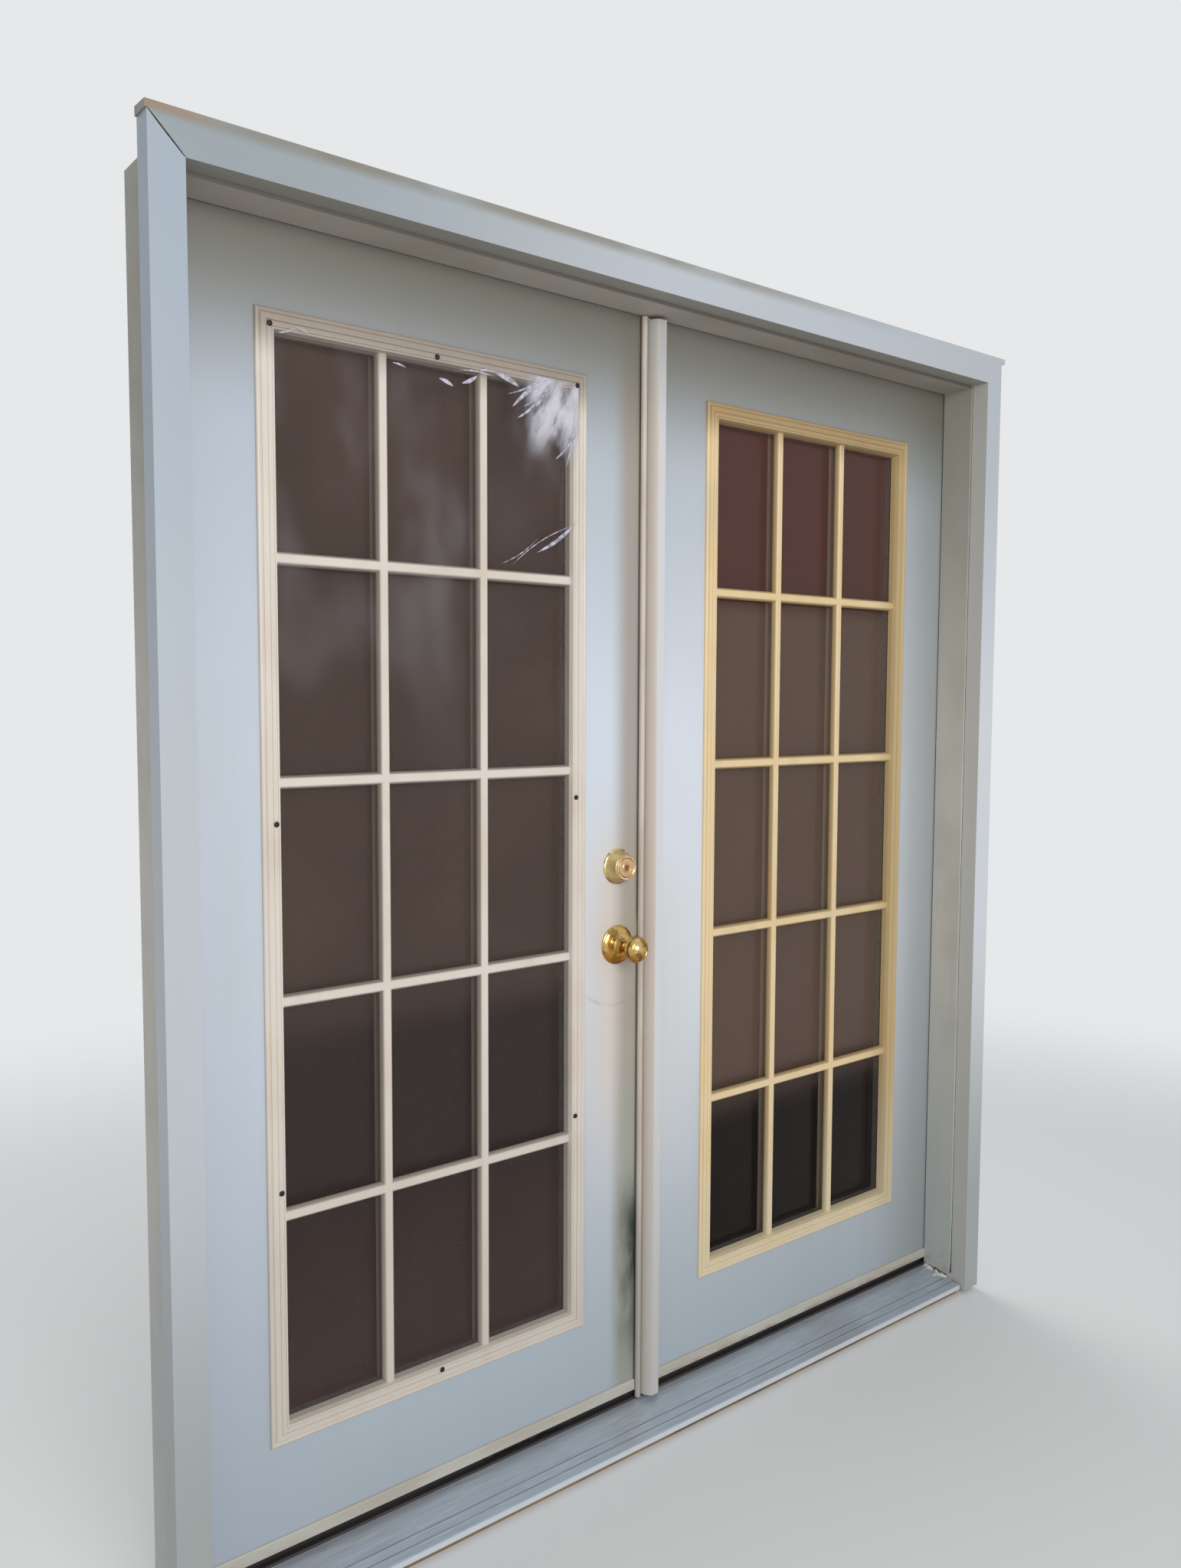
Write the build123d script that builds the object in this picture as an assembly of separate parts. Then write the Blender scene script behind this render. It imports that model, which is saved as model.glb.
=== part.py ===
from build123d import *
import os

# A pair of glazed, steel-skinned entry doors in their wooden frame.
# X runs to the right seen from outside, Y into the building and Z up. The origin lies midway
# between the leaves, on the plane of the frame's outer edge, level with the underside of the sill.
# All sizes are in millimetres.

# Leaves
leaf_width = 857.0
leaf_height = 1937.0
leaf_thickness = 44.5
leaf_bottom_z = 60.0
meeting_gap = 10.6
hinge_gap = 3.0
head_gap = 3.2
skin_sheet = 0.7
skin_return = 9.0
stile_width = 40.0
rail_height = 45.0
side_margin = 168.15
top_margin = 163.0
bottom_margin = 186.5

# Frame
jamb_depth = 116.0
jamb_back = 19.3
stop_step = 12.7
weather_gap = 3.0
casing_width = 47.5
casing_depth = 36.0
casing_reveal = 6.0
casing_bottom_z = 10.0
casing_relief = 2.0
casing_relief_width = 5.0
cap_height = 12.0
cap_left_overhang = 2.5
cap_right_overhang = 12.0
cap_fall = 2.0
kerf_width = 3.0
kerf_depth = 8.0
kerf_inset = 3.0
strip_width = 9.0
strip_clearance = 0.3

# Sill and threshold
sill_front_y = -28.0
sill_front_z = 20.5
sill_slope = 0.137
sill_sheet = 2.5
sill_lip = 9.0
sill_break_y = 67.0
sill_base_front_y = -20.0
groove_width = 2.0
groove_depth = 1.0
groove_setbacks = (18.0, 36.0)
threshold_top_z = 37.0
threshold_chamfer = 2.0
sill_clearance = 0.3

# Glazing
columns = 3
rows = 5
bar_width = 20.0
bar_crest = 10.0
bar_height = 10.5
bar_foot = 2.0
unit_thickness = 19.0
pane_thickness = 3.2
pane_overlap = 12.7
spacer_inset = 1.5
spacer_width = 9.0
cutout_border = 26.0
frame_border = 33.0
bead_width = 7.0
bead_height = 5.5
face_height = 5.0
face_outer = 24.5
face_inner = 17.0
band_height = 4.5
band_outer = 15.0
band_inner = 9.0
ridge_height = 4.3
ridge_outer = 7.5
ridge_inner = 5.0
groove_floor = 3.4
land_width = 8.0
web_under = 3.0
rail_inner = 14.0
rail_outer = 25.0
rail_drop = 14.0
glazing_screw_radius = 1.75
glazing_screw_head = 3.0
glazing_screw_border = 20.75
glazing_screw_bite = 10.0

# Storm sheet
storm_border = 14.5
storm_thickness = 1.0
storm_screw_border = 11.5
storm_screw_head = 4.2
storm_screw_radius = 1.6
storm_screw_length = 9.0
storm_hinge_side_heights = (102.0, -442.0)
storm_lock_side_heights = (115.0, -442.0)

# Hinges
hinge_height = 101.6
hinge_plate = 2.2
hinge_plate_depth = 40.0
hinge_axis_out = 5.5
knuckle_radius = 5.3
knuckle_count = 5
knuckle_gap = 0.4
pin_radius = 3.2
pin_clearance = 0.07
pin_head = 1.6
hinge_end_distance = 178.0
hinge_screw_radius = 2.2
hinge_screw_head = 4.2
hinge_screw_length = 18.0

# Sweep under each leaf
sweep_band_height = 19.0
sweep_band_drop = 8.0
sweep_band_proud = 4.5
sweep_leg = 2.0
fin_thickness = 2.0
fin_setbacks = (6.0, 14.0, 34.0)
fin_clearance = 0.5
sweep_end_inset = 1.0
band_end_gap = 0.8

# Astragal and its seal
astragal_web = 6.6
astragal_front = 27.0
astragal_reach = 9.0
astragal_back_gap = 5.0
astragal_nose_left = 2.0
astragal_nose_right = 17.6
astragal_right = 29.0
astragal_bottom_z = 42.0
astragal_head_gap = 6.5
seal_radius = 5.5
seal_wall = 1.3
seal_clearance = 0.3
seal_side_gap = 0.4
seal_flange = 2.0
seal_bottom_z = 38.0
seal_head_gap = 1.5

# Locks
backset = 60.3
knob_z = 888.0
lock_spacing = 140.0
cross_bore_radius = 27.0
edge_bore_radius = 12.7
case_radius = 12.4
case_length = 78.0
case_end_wall = 4.5
faceplate_height = 57.0
faceplate_width = 25.4
faceplate_thickness = 2.4
fit_clearance = 0.3
running_clearance = 0.1
lock_block_clearance = 37.45
lock_block_margin = 70.0
collar_base_radius = 31.5
collar_face_radius = 21.5
collar_proud = 27.0
cylinder_radius = 17.0
keyway_height = 9.0
keyway_width = 2.2
rose_radius = 35.0
rose_proud = 9.0
knob_radius = 23.8
knob_neck_radius = 10.5
knob_centre = 53.0
knob_front = 70.0
spindle_radius = 4.0
deadbolt_height = 20.0
deadbolt_width = 12.7
deadbolt_length = 46.0
deadbolt_throw = 25.0
latch_height = 18.0
latch_width = 12.0
latch_length = 40.0
latch_throw = 12.0
tail_height = 2.5
tail_length = 24.0
turn_blade_length = 44.0
turn_blade_width = 8.0
turn_blade_proud = 22.0
strike_height = 57.0
strike_width = 28.0
strike_thickness = 1.6

# Flush bolts of the right leaf
flush_inset = 20.0
flush_radius = 4.75
flush_length = 300.0
flush_top_throw = 16.0
flush_bottom_throw = 32.0
flush_recess = 1.0
flush_thumb_height = 14.0
flush_thumb_width = 9.0
flush_thumb_setback = 60.0
keeper_length = 44.0
keeper_width = 20.0
keeper_thickness = 1.5
keeper_depth = 13.0

# Places worked out from the sizes above
leaf_inner_x = meeting_gap / 2
leaf_outer_x = leaf_inner_x + leaf_width
leaf_back_y = jamb_depth
leaf_face_y = leaf_back_y - leaf_thickness
leaf_mid_y = (leaf_face_y + leaf_back_y) / 2
leaf_top_z = leaf_bottom_z + leaf_height
leaf_centre_x = leaf_inner_x + leaf_width / 2
rabbet_x = leaf_outer_x + hinge_gap
stop_x = rabbet_x - stop_step
jamb_back_x = rabbet_x + jamb_back
rabbet_y = leaf_face_y - weather_gap
rabbet_z = leaf_top_z + head_gap
head_stop_z = rabbet_z - stop_step
head_top_z = rabbet_z + jamb_back
casing_inner_x = stop_x + casing_reveal
casing_outer_x = casing_inner_x + casing_width
casing_inner_z = head_stop_z + casing_reveal
casing_top_z = casing_inner_z + casing_width
daylight_width = leaf_width - 2 * side_margin
daylight_height = leaf_height - bottom_margin - top_margin
daylight_z = leaf_bottom_z + bottom_margin + daylight_height / 2
glass_setback = (leaf_thickness - unit_thickness) / 2
hinge_x = leaf_outer_x + hinge_gap / 2
hinge_y = leaf_back_y + hinge_axis_out
hinge_plate_y = leaf_back_y - hinge_plate_depth
hinge_top_z = leaf_top_z - hinge_end_distance - hinge_height / 2
hinge_bottom_z = leaf_bottom_z + hinge_end_distance + hinge_height / 2
hinge_heights = (hinge_bottom_z, (hinge_bottom_z + hinge_top_z) / 2, hinge_top_z)
knuckle_length = (hinge_height - (knuckle_count - 1) * knuckle_gap) / knuckle_count
lock_x = leaf_inner_x + backset
deadbolt_z = knob_z + lock_spacing
web_x = leaf_inner_x - astragal_web
seal_left = astragal_reach + seal_side_gap + 2 * seal_radius
flush_x = leaf_inner_x + flush_inset
sill_end_x = stop_x - sill_clearance
rear_end_x = rabbet_x - sill_clearance
rear_y = rabbet_y + sill_clearance


def box(x0, x1, y0, y1, z0, z1):
    centre = Pos((x0 + x1) / 2, (y0 + y1) / 2, (z0 + z1) / 2)
    return centre * Box(abs(x1 - x0), abs(y1 - y0), abs(z1 - z0))


def rod(start, direction, radius, length):
    place = Plane(origin=start, z_dir=direction).location
    return place * Cylinder(radius, length, align=(Align.CENTER, Align.CENTER, Align.MIN))


def turned(points, start, direction):
    """A solid turned about an axis, from (radius, distance along the axis) points."""
    outline = make_face(Polyline(*[(r, 0, h) for r, h in points], close=True))
    place = Plane(origin=start, z_dir=direction).location
    return place * revolve(outline, Axis.Z)


def column(points, z0, z1):
    """A section drawn in X and Y, run from one height to another."""
    return Pos(0, 0, z0) * extrude(make_face(Polyline(*points, close=True)), amount=z1 - z0)


def lineal(points, x0, x1):
    """A section drawn in Y and Z, run from one X to another."""
    section = make_face(Polyline(*points, close=True))
    return Plane.YZ.offset(x0).location * extrude(section, amount=x1 - x0)


def mirrored(shape):
    return mirror(shape, about=Plane.YZ)


def group(shapes):
    return Compound([solid for shape in shapes for solid in shape.solids()])


def both_sides(shape):
    return group([shape, mirrored(shape)])


# Frame

def hinge_screw(x, y, z, direction, clearance=0.0):
    """A flat-headed screw whose head fills the plate's countersink."""
    head = Cone(
        hinge_screw_head + clearance,
        hinge_screw_radius + clearance,
        hinge_plate,
        align=(Align.CENTER, Align.CENTER, Align.MIN),
    )
    shank = Pos(0, 0, hinge_plate) * Cylinder(
        hinge_screw_radius + clearance,
        hinge_screw_length - hinge_plate + clearance,
        align=(Align.CENTER, Align.CENTER, Align.MIN),
    )
    return Plane(origin=(x, y, z), z_dir=(direction, 0, 0)).location * (head + shank)


def hinge_screws(face_x, direction, clearance=0.0):
    screws = []
    quarter = hinge_plate_depth / 4
    for centre_z in hinge_heights:
        for step, column_y in ((-3, 1), (-1, 3), (1, 1), (3, 3)):
            y = hinge_plate_y + column_y * quarter
            z = centre_z + step * hinge_height / 8
            screws.append(hinge_screw(face_x, y, z, direction, clearance))
    return screws


def hinge_mortises(x0, x1):
    """The shallow pockets that one set of hinge plates lies in."""
    half = hinge_height / 2
    return [box(x0, x1, hinge_plate_y, leaf_back_y, z - half, z + half) for z in hinge_heights]


def hinge_half(x0, x1, knuckles, centre_z):
    """One plate of a butt hinge with its knuckles, bored for the pin."""
    low_z = centre_z - hinge_height / 2
    edge_y = leaf_back_y - knuckle_gap / 2
    half = box(x0, x1, hinge_plate_y, edge_y, low_z, low_z + hinge_height)
    for index in knuckles:
        z = low_z + index * (knuckle_length + knuckle_gap)
        half += box(x0, x1, edge_y, hinge_y, z, z + knuckle_length)
        half += rod((hinge_x, hinge_y, z), (0, 0, 1), knuckle_radius, knuckle_length)
    half -= rod((hinge_x, hinge_y, low_z), (0, 0, 1), pin_radius + pin_clearance, hinge_height)
    return half


def hinge_halves(x0, x1, knuckles, screws):
    halves = []
    for centre_z in hinge_heights:
        half = hinge_half(x0, x1, knuckles, centre_z)
        for screw in screws:
            half -= screw
        halves.append(half)
    return halves


def frame_hinge_leaves():
    screws = hinge_screws(rabbet_x, 1, running_clearance)
    return both_sides(group(hinge_halves(rabbet_x, rabbet_x + hinge_plate, (0, 2, 4), screws)))


def frame_hinge_screws():
    return both_sides(group(hinge_screws(rabbet_x, 1)))


def hinge_pins():
    pins = []
    for centre_z in hinge_heights:
        low_z = centre_z - hinge_height / 2 - pin_head
        pin = rod((hinge_x, hinge_y, low_z), (0, 0, 1), knuckle_radius, pin_head)
        pin += rod((hinge_x, hinge_y, low_z), (0, 0, 1), pin_radius, hinge_height + 2 * pin_head)
        top_z = centre_z + hinge_height / 2
        pin += rod((hinge_x, hinge_y, top_z), (0, 0, 1), knuckle_radius, pin_head)
        pins.append(pin)
    return both_sides(group(pins))


def right_jamb():
    section = [
        (stop_x, 0),
        (jamb_back_x, 0),
        (jamb_back_x, jamb_depth),
        (rabbet_x, jamb_depth),
        (rabbet_x, rabbet_y),
        (stop_x, rabbet_y),
    ]
    jamb = column(section, 0, head_top_z)
    kerf_x = rabbet_x - kerf_inset
    jamb -= box(kerf_x - kerf_width, kerf_x, rabbet_y - kerf_depth, rabbet_y, threshold_top_z, head_stop_z)
    for pocket in hinge_mortises(rabbet_x, rabbet_x + hinge_plate):
        jamb -= pocket
    for screw in hinge_screws(rabbet_x, 1, running_clearance):
        jamb -= screw
    return jamb


def head_jamb():
    section = [
        (0, head_stop_z),
        (rabbet_y, head_stop_z),
        (rabbet_y, rabbet_z),
        (jamb_depth, rabbet_z),
        (jamb_depth, head_top_z),
        (0, head_top_z),
    ]
    jamb = lineal(section, -stop_x, stop_x)
    jamb += box(-rabbet_x, rabbet_x, rabbet_y, jamb_depth, rabbet_z, head_top_z)
    kerf_z = rabbet_z - kerf_inset
    jamb -= box(-stop_x, stop_x, rabbet_y - kerf_depth, rabbet_y, kerf_z - kerf_width, kerf_z)
    jamb -= keeper_plate(rabbet_z, 1)
    jamb -= rod((flush_x, leaf_mid_y, rabbet_z), (0, 0, 1), flush_radius + fit_clearance, keeper_depth)
    return jamb


def weatherstrips():
    """Soft strips pushed into the kerf of the stop, just clear of the leaves' face."""
    face_y = leaf_face_y - strip_clearance
    x = rabbet_x - kerf_inset
    barb = box(x - kerf_width, x, rabbet_y - kerf_depth + 1, rabbet_y, threshold_top_z, head_stop_z)
    side = barb + box(
        rabbet_x - strip_width - strip_clearance,
        rabbet_x - strip_clearance,
        rabbet_y,
        face_y,
        threshold_top_z,
        rabbet_z - strip_width,
    )
    z = rabbet_z - kerf_inset
    head_barb = box(-stop_x, stop_x, rabbet_y - kerf_depth + 1, rabbet_y, z - kerf_width, z)
    head = head_barb + box(
        -rabbet_x + strip_clearance,
        rabbet_x - strip_clearance,
        rabbet_y,
        face_y,
        rabbet_z - strip_width,
        rabbet_z,
    )
    return group([side, mirrored(side), head])


def casing(outline):
    """A length of flat trim, its mitred outline drawn in X and Z."""
    return Plane.XZ.location * extrude(make_face(Polyline(*outline, close=True)), amount=casing_depth)


def casing_leg():
    """A leg with a shallow relief in its back, between the jamb's edge and the wall."""
    leg = casing([
        (casing_inner_x, casing_bottom_z),
        (casing_outer_x, casing_bottom_z),
        (casing_outer_x, casing_top_z),
        (casing_inner_x, casing_inner_z),
    ])
    relief_x = jamb_back_x + casing_relief_width
    return leg - box(jamb_back_x, relief_x, -casing_relief, 0, casing_bottom_z, casing_top_z)


def head_casing():
    outline = [
        (-casing_inner_x, casing_inner_z),
        (casing_inner_x, casing_inner_z),
        (casing_outer_x, casing_top_z),
        (-casing_outer_x, casing_top_z),
    ]
    relief_z = head_top_z + casing_relief_width
    return casing(outline) - box(-casing_outer_x, casing_outer_x, -casing_relief, 0, head_top_z, relief_z)


def drip_cap():
    """A strip on the head casing, flush with its face, falling to the front and lapping its right end."""
    section = [
        (0, casing_top_z),
        (-casing_depth, casing_top_z),
        (-casing_depth, casing_top_z + cap_height - cap_fall),
        (0, casing_top_z + cap_height),
    ]
    return lineal(section, -casing_outer_x - cap_left_overhang, casing_outer_x + cap_right_overhang)


def sill_z(y):
    """Height of the sloping top of the sill."""
    return sill_front_z + sill_slope * (y - sill_front_y)


def sill_base():
    section = [
        (sill_base_front_y, 0),
        (jamb_depth, 0),
        (jamb_depth, sill_z(sill_break_y) - sill_sheet),
        (sill_break_y, sill_z(sill_break_y) - sill_sheet),
        (sill_base_front_y, sill_z(sill_base_front_y) - sill_sheet),
    ]
    base = lineal(section, -sill_end_x, sill_end_x)
    rear_top = sill_z(sill_break_y) - sill_sheet
    base += box(-rear_end_x, rear_end_x, rear_y, jamb_depth, 0, rear_top)
    base -= bottom_bolt_hole()
    return base


def bottom_bolt_hole():
    low_z = threshold_top_z - keeper_depth
    return rod((flush_x, leaf_mid_y, low_z), (0, 0, 1), flush_radius + fit_clearance, keeper_depth)


def sill_plate():
    """The sloping metal plate with its front lip and two dark grooves."""
    top_front = sill_z(sill_front_y)
    section = [
        (sill_front_y, top_front - sill_lip),
        (sill_front_y + sill_sheet, top_front - sill_lip),
        (sill_front_y + sill_sheet, sill_z(sill_front_y + sill_sheet) - sill_sheet),
        (sill_break_y, sill_z(sill_break_y) - sill_sheet),
        (sill_break_y, sill_z(sill_break_y)),
        (sill_front_y, top_front),
    ]
    plate = lineal(section, -sill_end_x, sill_end_x)
    for setback in groove_setbacks:
        y = sill_front_y + setback
        floor = sill_z(y) - groove_depth
        plate -= box(-sill_end_x, sill_end_x, y, y + groove_width, floor, sill_z(y) + sill_sheet)
    return plate


def threshold_cap():
    """The flat strip behind the sill plate that the sweeps pass over."""
    low_z = sill_z(sill_break_y) - sill_sheet
    section = [
        (sill_break_y, low_z),
        (jamb_depth, low_z),
        (jamb_depth, threshold_top_z - threshold_chamfer),
        (jamb_depth - threshold_chamfer, threshold_top_z),
        (sill_break_y + threshold_chamfer, threshold_top_z),
        (sill_break_y, threshold_top_z - threshold_chamfer),
    ]
    cap = lineal(section, -sill_end_x, sill_end_x)
    rear = [(y, z) for y, z in section[1:4]] + [(rear_y, threshold_top_z), (rear_y, low_z)]
    cap += lineal(rear, -rear_end_x, rear_end_x)
    cap -= keeper_plate(threshold_top_z, -1)
    cap -= bottom_bolt_hole()
    return cap


def keeper_plate(z, direction):
    """A small plate let into the frame at a flush bolt, with its hole left out."""
    half_length = keeper_length / 2
    half_width = keeper_width / 2
    return box(
        flush_x - half_width,
        flush_x + half_width,
        leaf_mid_y - half_length,
        leaf_mid_y + half_length,
        z,
        z + direction * keeper_thickness,
    )


def bolt_keepers():
    radius = flush_radius + fit_clearance
    hole_top = rod((flush_x, leaf_mid_y, rabbet_z), (0, 0, 1), radius, keeper_thickness)
    hole_bottom = rod((flush_x, leaf_mid_y, threshold_top_z), (0, 0, -1), radius, keeper_thickness)
    upper = keeper_plate(rabbet_z, 1) - hole_top
    lower = keeper_plate(threshold_top_z, -1) - hole_bottom
    return group([upper, lower])


# Leaf slab, drawn for the right-hand leaf and mirrored for the left-hand one

def cutout():
    half_x = daylight_width / 2 + cutout_border
    half_z = daylight_height / 2 + cutout_border
    return box(
        leaf_centre_x - half_x,
        leaf_centre_x + half_x,
        leaf_face_y,
        leaf_back_y,
        daylight_z - half_z,
        daylight_z + half_z,
    )


def skin(sheet_y, inward):
    """A steel sheet whose long edges fold round the stiles."""
    deep_y = sheet_y + inward * skin_return
    sheet = box(leaf_inner_x, leaf_outer_x, sheet_y, deep_y, leaf_bottom_z, leaf_top_z)
    sheet -= box(
        leaf_inner_x + skin_sheet,
        leaf_outer_x - skin_sheet,
        sheet_y + inward * skin_sheet,
        deep_y,
        leaf_bottom_z,
        leaf_top_z,
    )
    sheet -= cutout()
    for pocket in hinge_mortises(leaf_outer_x - hinge_plate, leaf_outer_x):
        sheet -= pocket
    return sheet


def wood(x0, x1, z0, z1):
    return box(x0, x1, leaf_face_y + skin_sheet, leaf_back_y - skin_sheet, z0, z1)


def hinge_stile():
    outer = leaf_outer_x - skin_sheet
    stile = wood(outer - stile_width, outer, leaf_bottom_z, leaf_top_z)
    for pocket in hinge_mortises(leaf_outer_x - hinge_plate, leaf_outer_x):
        stile -= pocket
    for screw in hinge_screws(leaf_outer_x, -1, running_clearance):
        stile -= screw
    return stile


def lock_stile():
    inner = leaf_inner_x + skin_sheet
    return wood(inner, inner + stile_width, leaf_bottom_z, leaf_top_z)


def rails():
    x0 = leaf_inner_x + skin_sheet + stile_width
    x1 = leaf_outer_x - skin_sheet - stile_width
    bottom = wood(x0, x1, leaf_bottom_z, leaf_bottom_z + rail_height)
    top = wood(x0, x1, leaf_top_z - rail_height, leaf_top_z)
    return group([bottom, top])


def core():
    x0 = leaf_inner_x + skin_sheet + stile_width
    x1 = leaf_outer_x - skin_sheet - stile_width
    block = wood(x0, x1, leaf_bottom_z + rail_height, leaf_top_z - rail_height)
    return block - cutout()


def lock_block_space():
    x0 = leaf_inner_x + skin_sheet + stile_width
    x1 = leaf_inner_x + side_margin - cutout_border - lock_block_clearance
    low_z = knob_z - lock_block_margin
    return wood(x0, x1, low_z, deadbolt_z + lock_block_margin)


def lock_bores():
    """The two cross bores, the two bores from the edge and the faceplates' pockets."""
    bores = []
    for z in (knob_z, deadbolt_z):
        bores.append(rod((lock_x, leaf_face_y, z), (0, 1, 0), cross_bore_radius, leaf_thickness))
        bores.append(rod((leaf_inner_x, leaf_mid_y, z), (1, 0, 0), edge_bore_radius, backset))
        bores.append(faceplate(z))
    return bores


def bored(shape):
    for bore in lock_bores():
        shape -= bore
    return shape


# Glazing, drawn flat with its outward side up and then stood on either face of the leaf

def flat_to_face(shape, outside):
    """Stands a flat-drawn shape on the outer or inner skin, centred on the glass."""
    if outside:
        place = Plane(origin=(leaf_centre_x, leaf_face_y, daylight_z), x_dir=(1, 0, 0), z_dir=(0, -1, 0))
    else:
        place = Plane(origin=(leaf_centre_x, leaf_back_y, daylight_z), x_dir=(-1, 0, 0), z_dir=(0, 1, 0))
    return place.location * shape


def border_profile():
    """The moulded border: distance outward from the glass opening, height above the skin."""
    bead_crown = (frame_border - bead_width / 2, bead_height)
    bead = ThreePointArc((frame_border, 0), bead_crown, (frame_border - bead_width, groove_floor))
    step = (band_outer - band_inner) / 12
    rest = Polyline(
        (frame_border - bead_width, groove_floor),
        (face_outer + step, groove_floor),
        (face_outer, face_height),
        (face_inner, face_height),
        (face_inner - step, groove_floor),
        (band_outer + step, groove_floor),
        (band_outer, band_height),
        (band_inner, band_height),
        (band_inner - step, groove_floor),
        (ridge_outer + step, groove_floor),
        (ridge_outer, ridge_height),
        (ridge_inner, ridge_height),
        (0, -glass_setback),
        (land_width, -glass_setback),
        (land_width, -web_under),
        (rail_inner, -web_under),
        (rail_inner, -rail_drop),
        (rail_outer, -rail_drop),
        (rail_outer, 0),
        (frame_border, 0),
    )
    return make_face(bead + rest)


def border_side(length):
    """One mitred side of the border, below the opening's edge and centred on it."""
    reach = length + 2 * frame_border
    place = Plane(origin=(reach / 2, 0, 0), x_dir=(0, -1, 0), z_dir=(-1, 0, 0))
    side = place.location * extrude(border_profile(), amount=reach)
    mitre = make_face(
        Polyline(
            (-length / 2, 0),
            (length / 2, 0),
            (length / 2 + frame_border, -frame_border),
            (-length / 2 - frame_border, -frame_border),
            close=True,
        )
    )
    low = glass_setback + rail_drop
    return side & (Pos(0, 0, -low) * extrude(mitre, amount=low + bead_height + face_height))


def bar_profile():
    half_base = bar_width / 2
    half_crest = bar_crest / 2
    shoulder = (half_base + half_crest) / 2 + bar_foot / 2
    rise = (bar_height + bar_foot) / 2 + bar_foot / 4
    left = ThreePointArc((-half_base, bar_foot), (-shoulder, rise), (-half_crest, bar_height))
    right = ThreePointArc((half_crest, bar_height), (shoulder, rise), (half_base, bar_foot))
    base = Polyline((half_base, bar_foot), (half_base, 0), (-half_base, 0), (-half_base, bar_foot))
    return make_face(left + Line((-half_crest, bar_height), (half_crest, bar_height)) + right + base)


def bar(length):
    """A glazing bar along X with its foot on the glass."""
    place = Plane(origin=(-length / 2, 0, -glass_setback), x_dir=(0, 1, 0), z_dir=(1, 0, 0))
    return place.location * extrude(bar_profile(), amount=length)


def glazing_frame():
    frame = Pos(0, -daylight_height / 2, 0) * border_side(daylight_width)
    frame += Pos(0, daylight_height / 2, 0) * Rot(0, 0, 180) * border_side(daylight_width)
    frame += Pos(-daylight_width / 2, 0, 0) * Rot(0, 0, -90) * border_side(daylight_height)
    frame += Pos(daylight_width / 2, 0, 0) * Rot(0, 0, 90) * border_side(daylight_height)
    bury = ridge_inner
    pitch_x = (daylight_width + bar_width) / columns
    pitch_y = (daylight_height + bar_width) / rows
    for index in range(1, columns):
        x = index * pitch_x - (daylight_width + bar_width) / 2
        frame += Pos(x, 0, 0) * Rot(0, 0, 90) * bar(daylight_height + 2 * bury)
    for index in range(1, rows):
        y = index * pitch_y - (daylight_height + bar_width) / 2
        frame += Pos(0, y, 0) * bar(daylight_width + 2 * bury)
    return frame


def glazing_screw_places():
    half_x = daylight_width / 2 + glazing_screw_border
    half_y = daylight_height / 2 + glazing_screw_border
    pitch_x = (daylight_width + bar_width) / columns
    pitch_y = (daylight_height + bar_width) / rows
    places = []
    for index in range(rows + 1):
        y = (index - rows / 2) * (pitch_y - bar_width / rows)
        places += [(-half_x, y), (half_x, y)]
    for index in range(1, columns):
        x = (index - columns / 2) * pitch_x
        places += [(x, -half_y), (x, half_y)]
    return places


def glazing_screw_shanks(clearance=0.0):
    """Shanks that run from the inner frame's face into the outer frame's rail."""
    length = face_height + leaf_thickness - rail_drop + glazing_screw_bite + clearance
    shanks = []
    for x, y in glazing_screw_places():
        shank = Pos(x, y, face_height - length) * Cylinder(
            glazing_screw_radius + clearance,
            length,
            align=(Align.CENTER, Align.CENTER, Align.MIN),
        )
        shanks.append(shank)
    return shanks


def glazing_screws():
    screws = []
    for shank, (x, y) in zip(glazing_screw_shanks(), glazing_screw_places()):
        head = Pos(x, y, face_height) * Cone(
            glazing_screw_head,
            glazing_screw_radius,
            glazing_screw_radius,
            align=(Align.CENTER, Align.CENTER, Align.MIN),
        )
        screws.append(shank + head)
    return flat_to_face(group(screws), outside=False)


def outer_glazing_frame():
    frame = flat_to_face(glazing_frame(), outside=True)
    for shank in glazing_screw_shanks(running_clearance):
        frame -= flat_to_face(shank, outside=False)
    return frame


def inner_glazing_frame():
    frame = glazing_frame()
    for shank in glazing_screw_shanks(running_clearance):
        frame -= shank
    return flat_to_face(frame, outside=False)


def glass_block(y0, y1, border):
    half_x = daylight_width / 2 + border
    half_z = daylight_height / 2 + border
    return box(
        leaf_centre_x - half_x,
        leaf_centre_x + half_x,
        y0,
        y1,
        daylight_z - half_z,
        daylight_z + half_z,
    )


def panes():
    outer_y = leaf_face_y + glass_setback
    inner_y = leaf_back_y - glass_setback
    outer = glass_block(outer_y, outer_y + pane_thickness, pane_overlap)
    inner = glass_block(inner_y - pane_thickness, inner_y, pane_overlap)
    return group([outer, inner])


def spacer():
    y0 = leaf_face_y + glass_setback + pane_thickness
    y1 = leaf_back_y - glass_setback - pane_thickness
    return glass_block(y0, y1, spacer_inset + spacer_width) - glass_block(y0, y1, spacer_inset)


# Storm sheet on the left leaf, drawn like the glazing

def storm_screw_places():
    half_x = daylight_width / 2 + storm_screw_border
    half_y = daylight_height / 2 + storm_screw_border
    places = [(-half_x, half_y), (0, half_y), (half_x, half_y), (0, -half_y)]
    places += [(-half_x, y) for y in storm_lock_side_heights]
    places += [(half_x, y) for y in storm_hinge_side_heights]
    return places


def storm_screw(x, y, clearance=0.0):
    return Pos(x, y, band_height + storm_thickness - storm_screw_length) * Cylinder(
        storm_screw_radius + clearance,
        storm_screw_length,
        align=(Align.CENTER, Align.CENTER, Align.MIN),
    )


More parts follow.
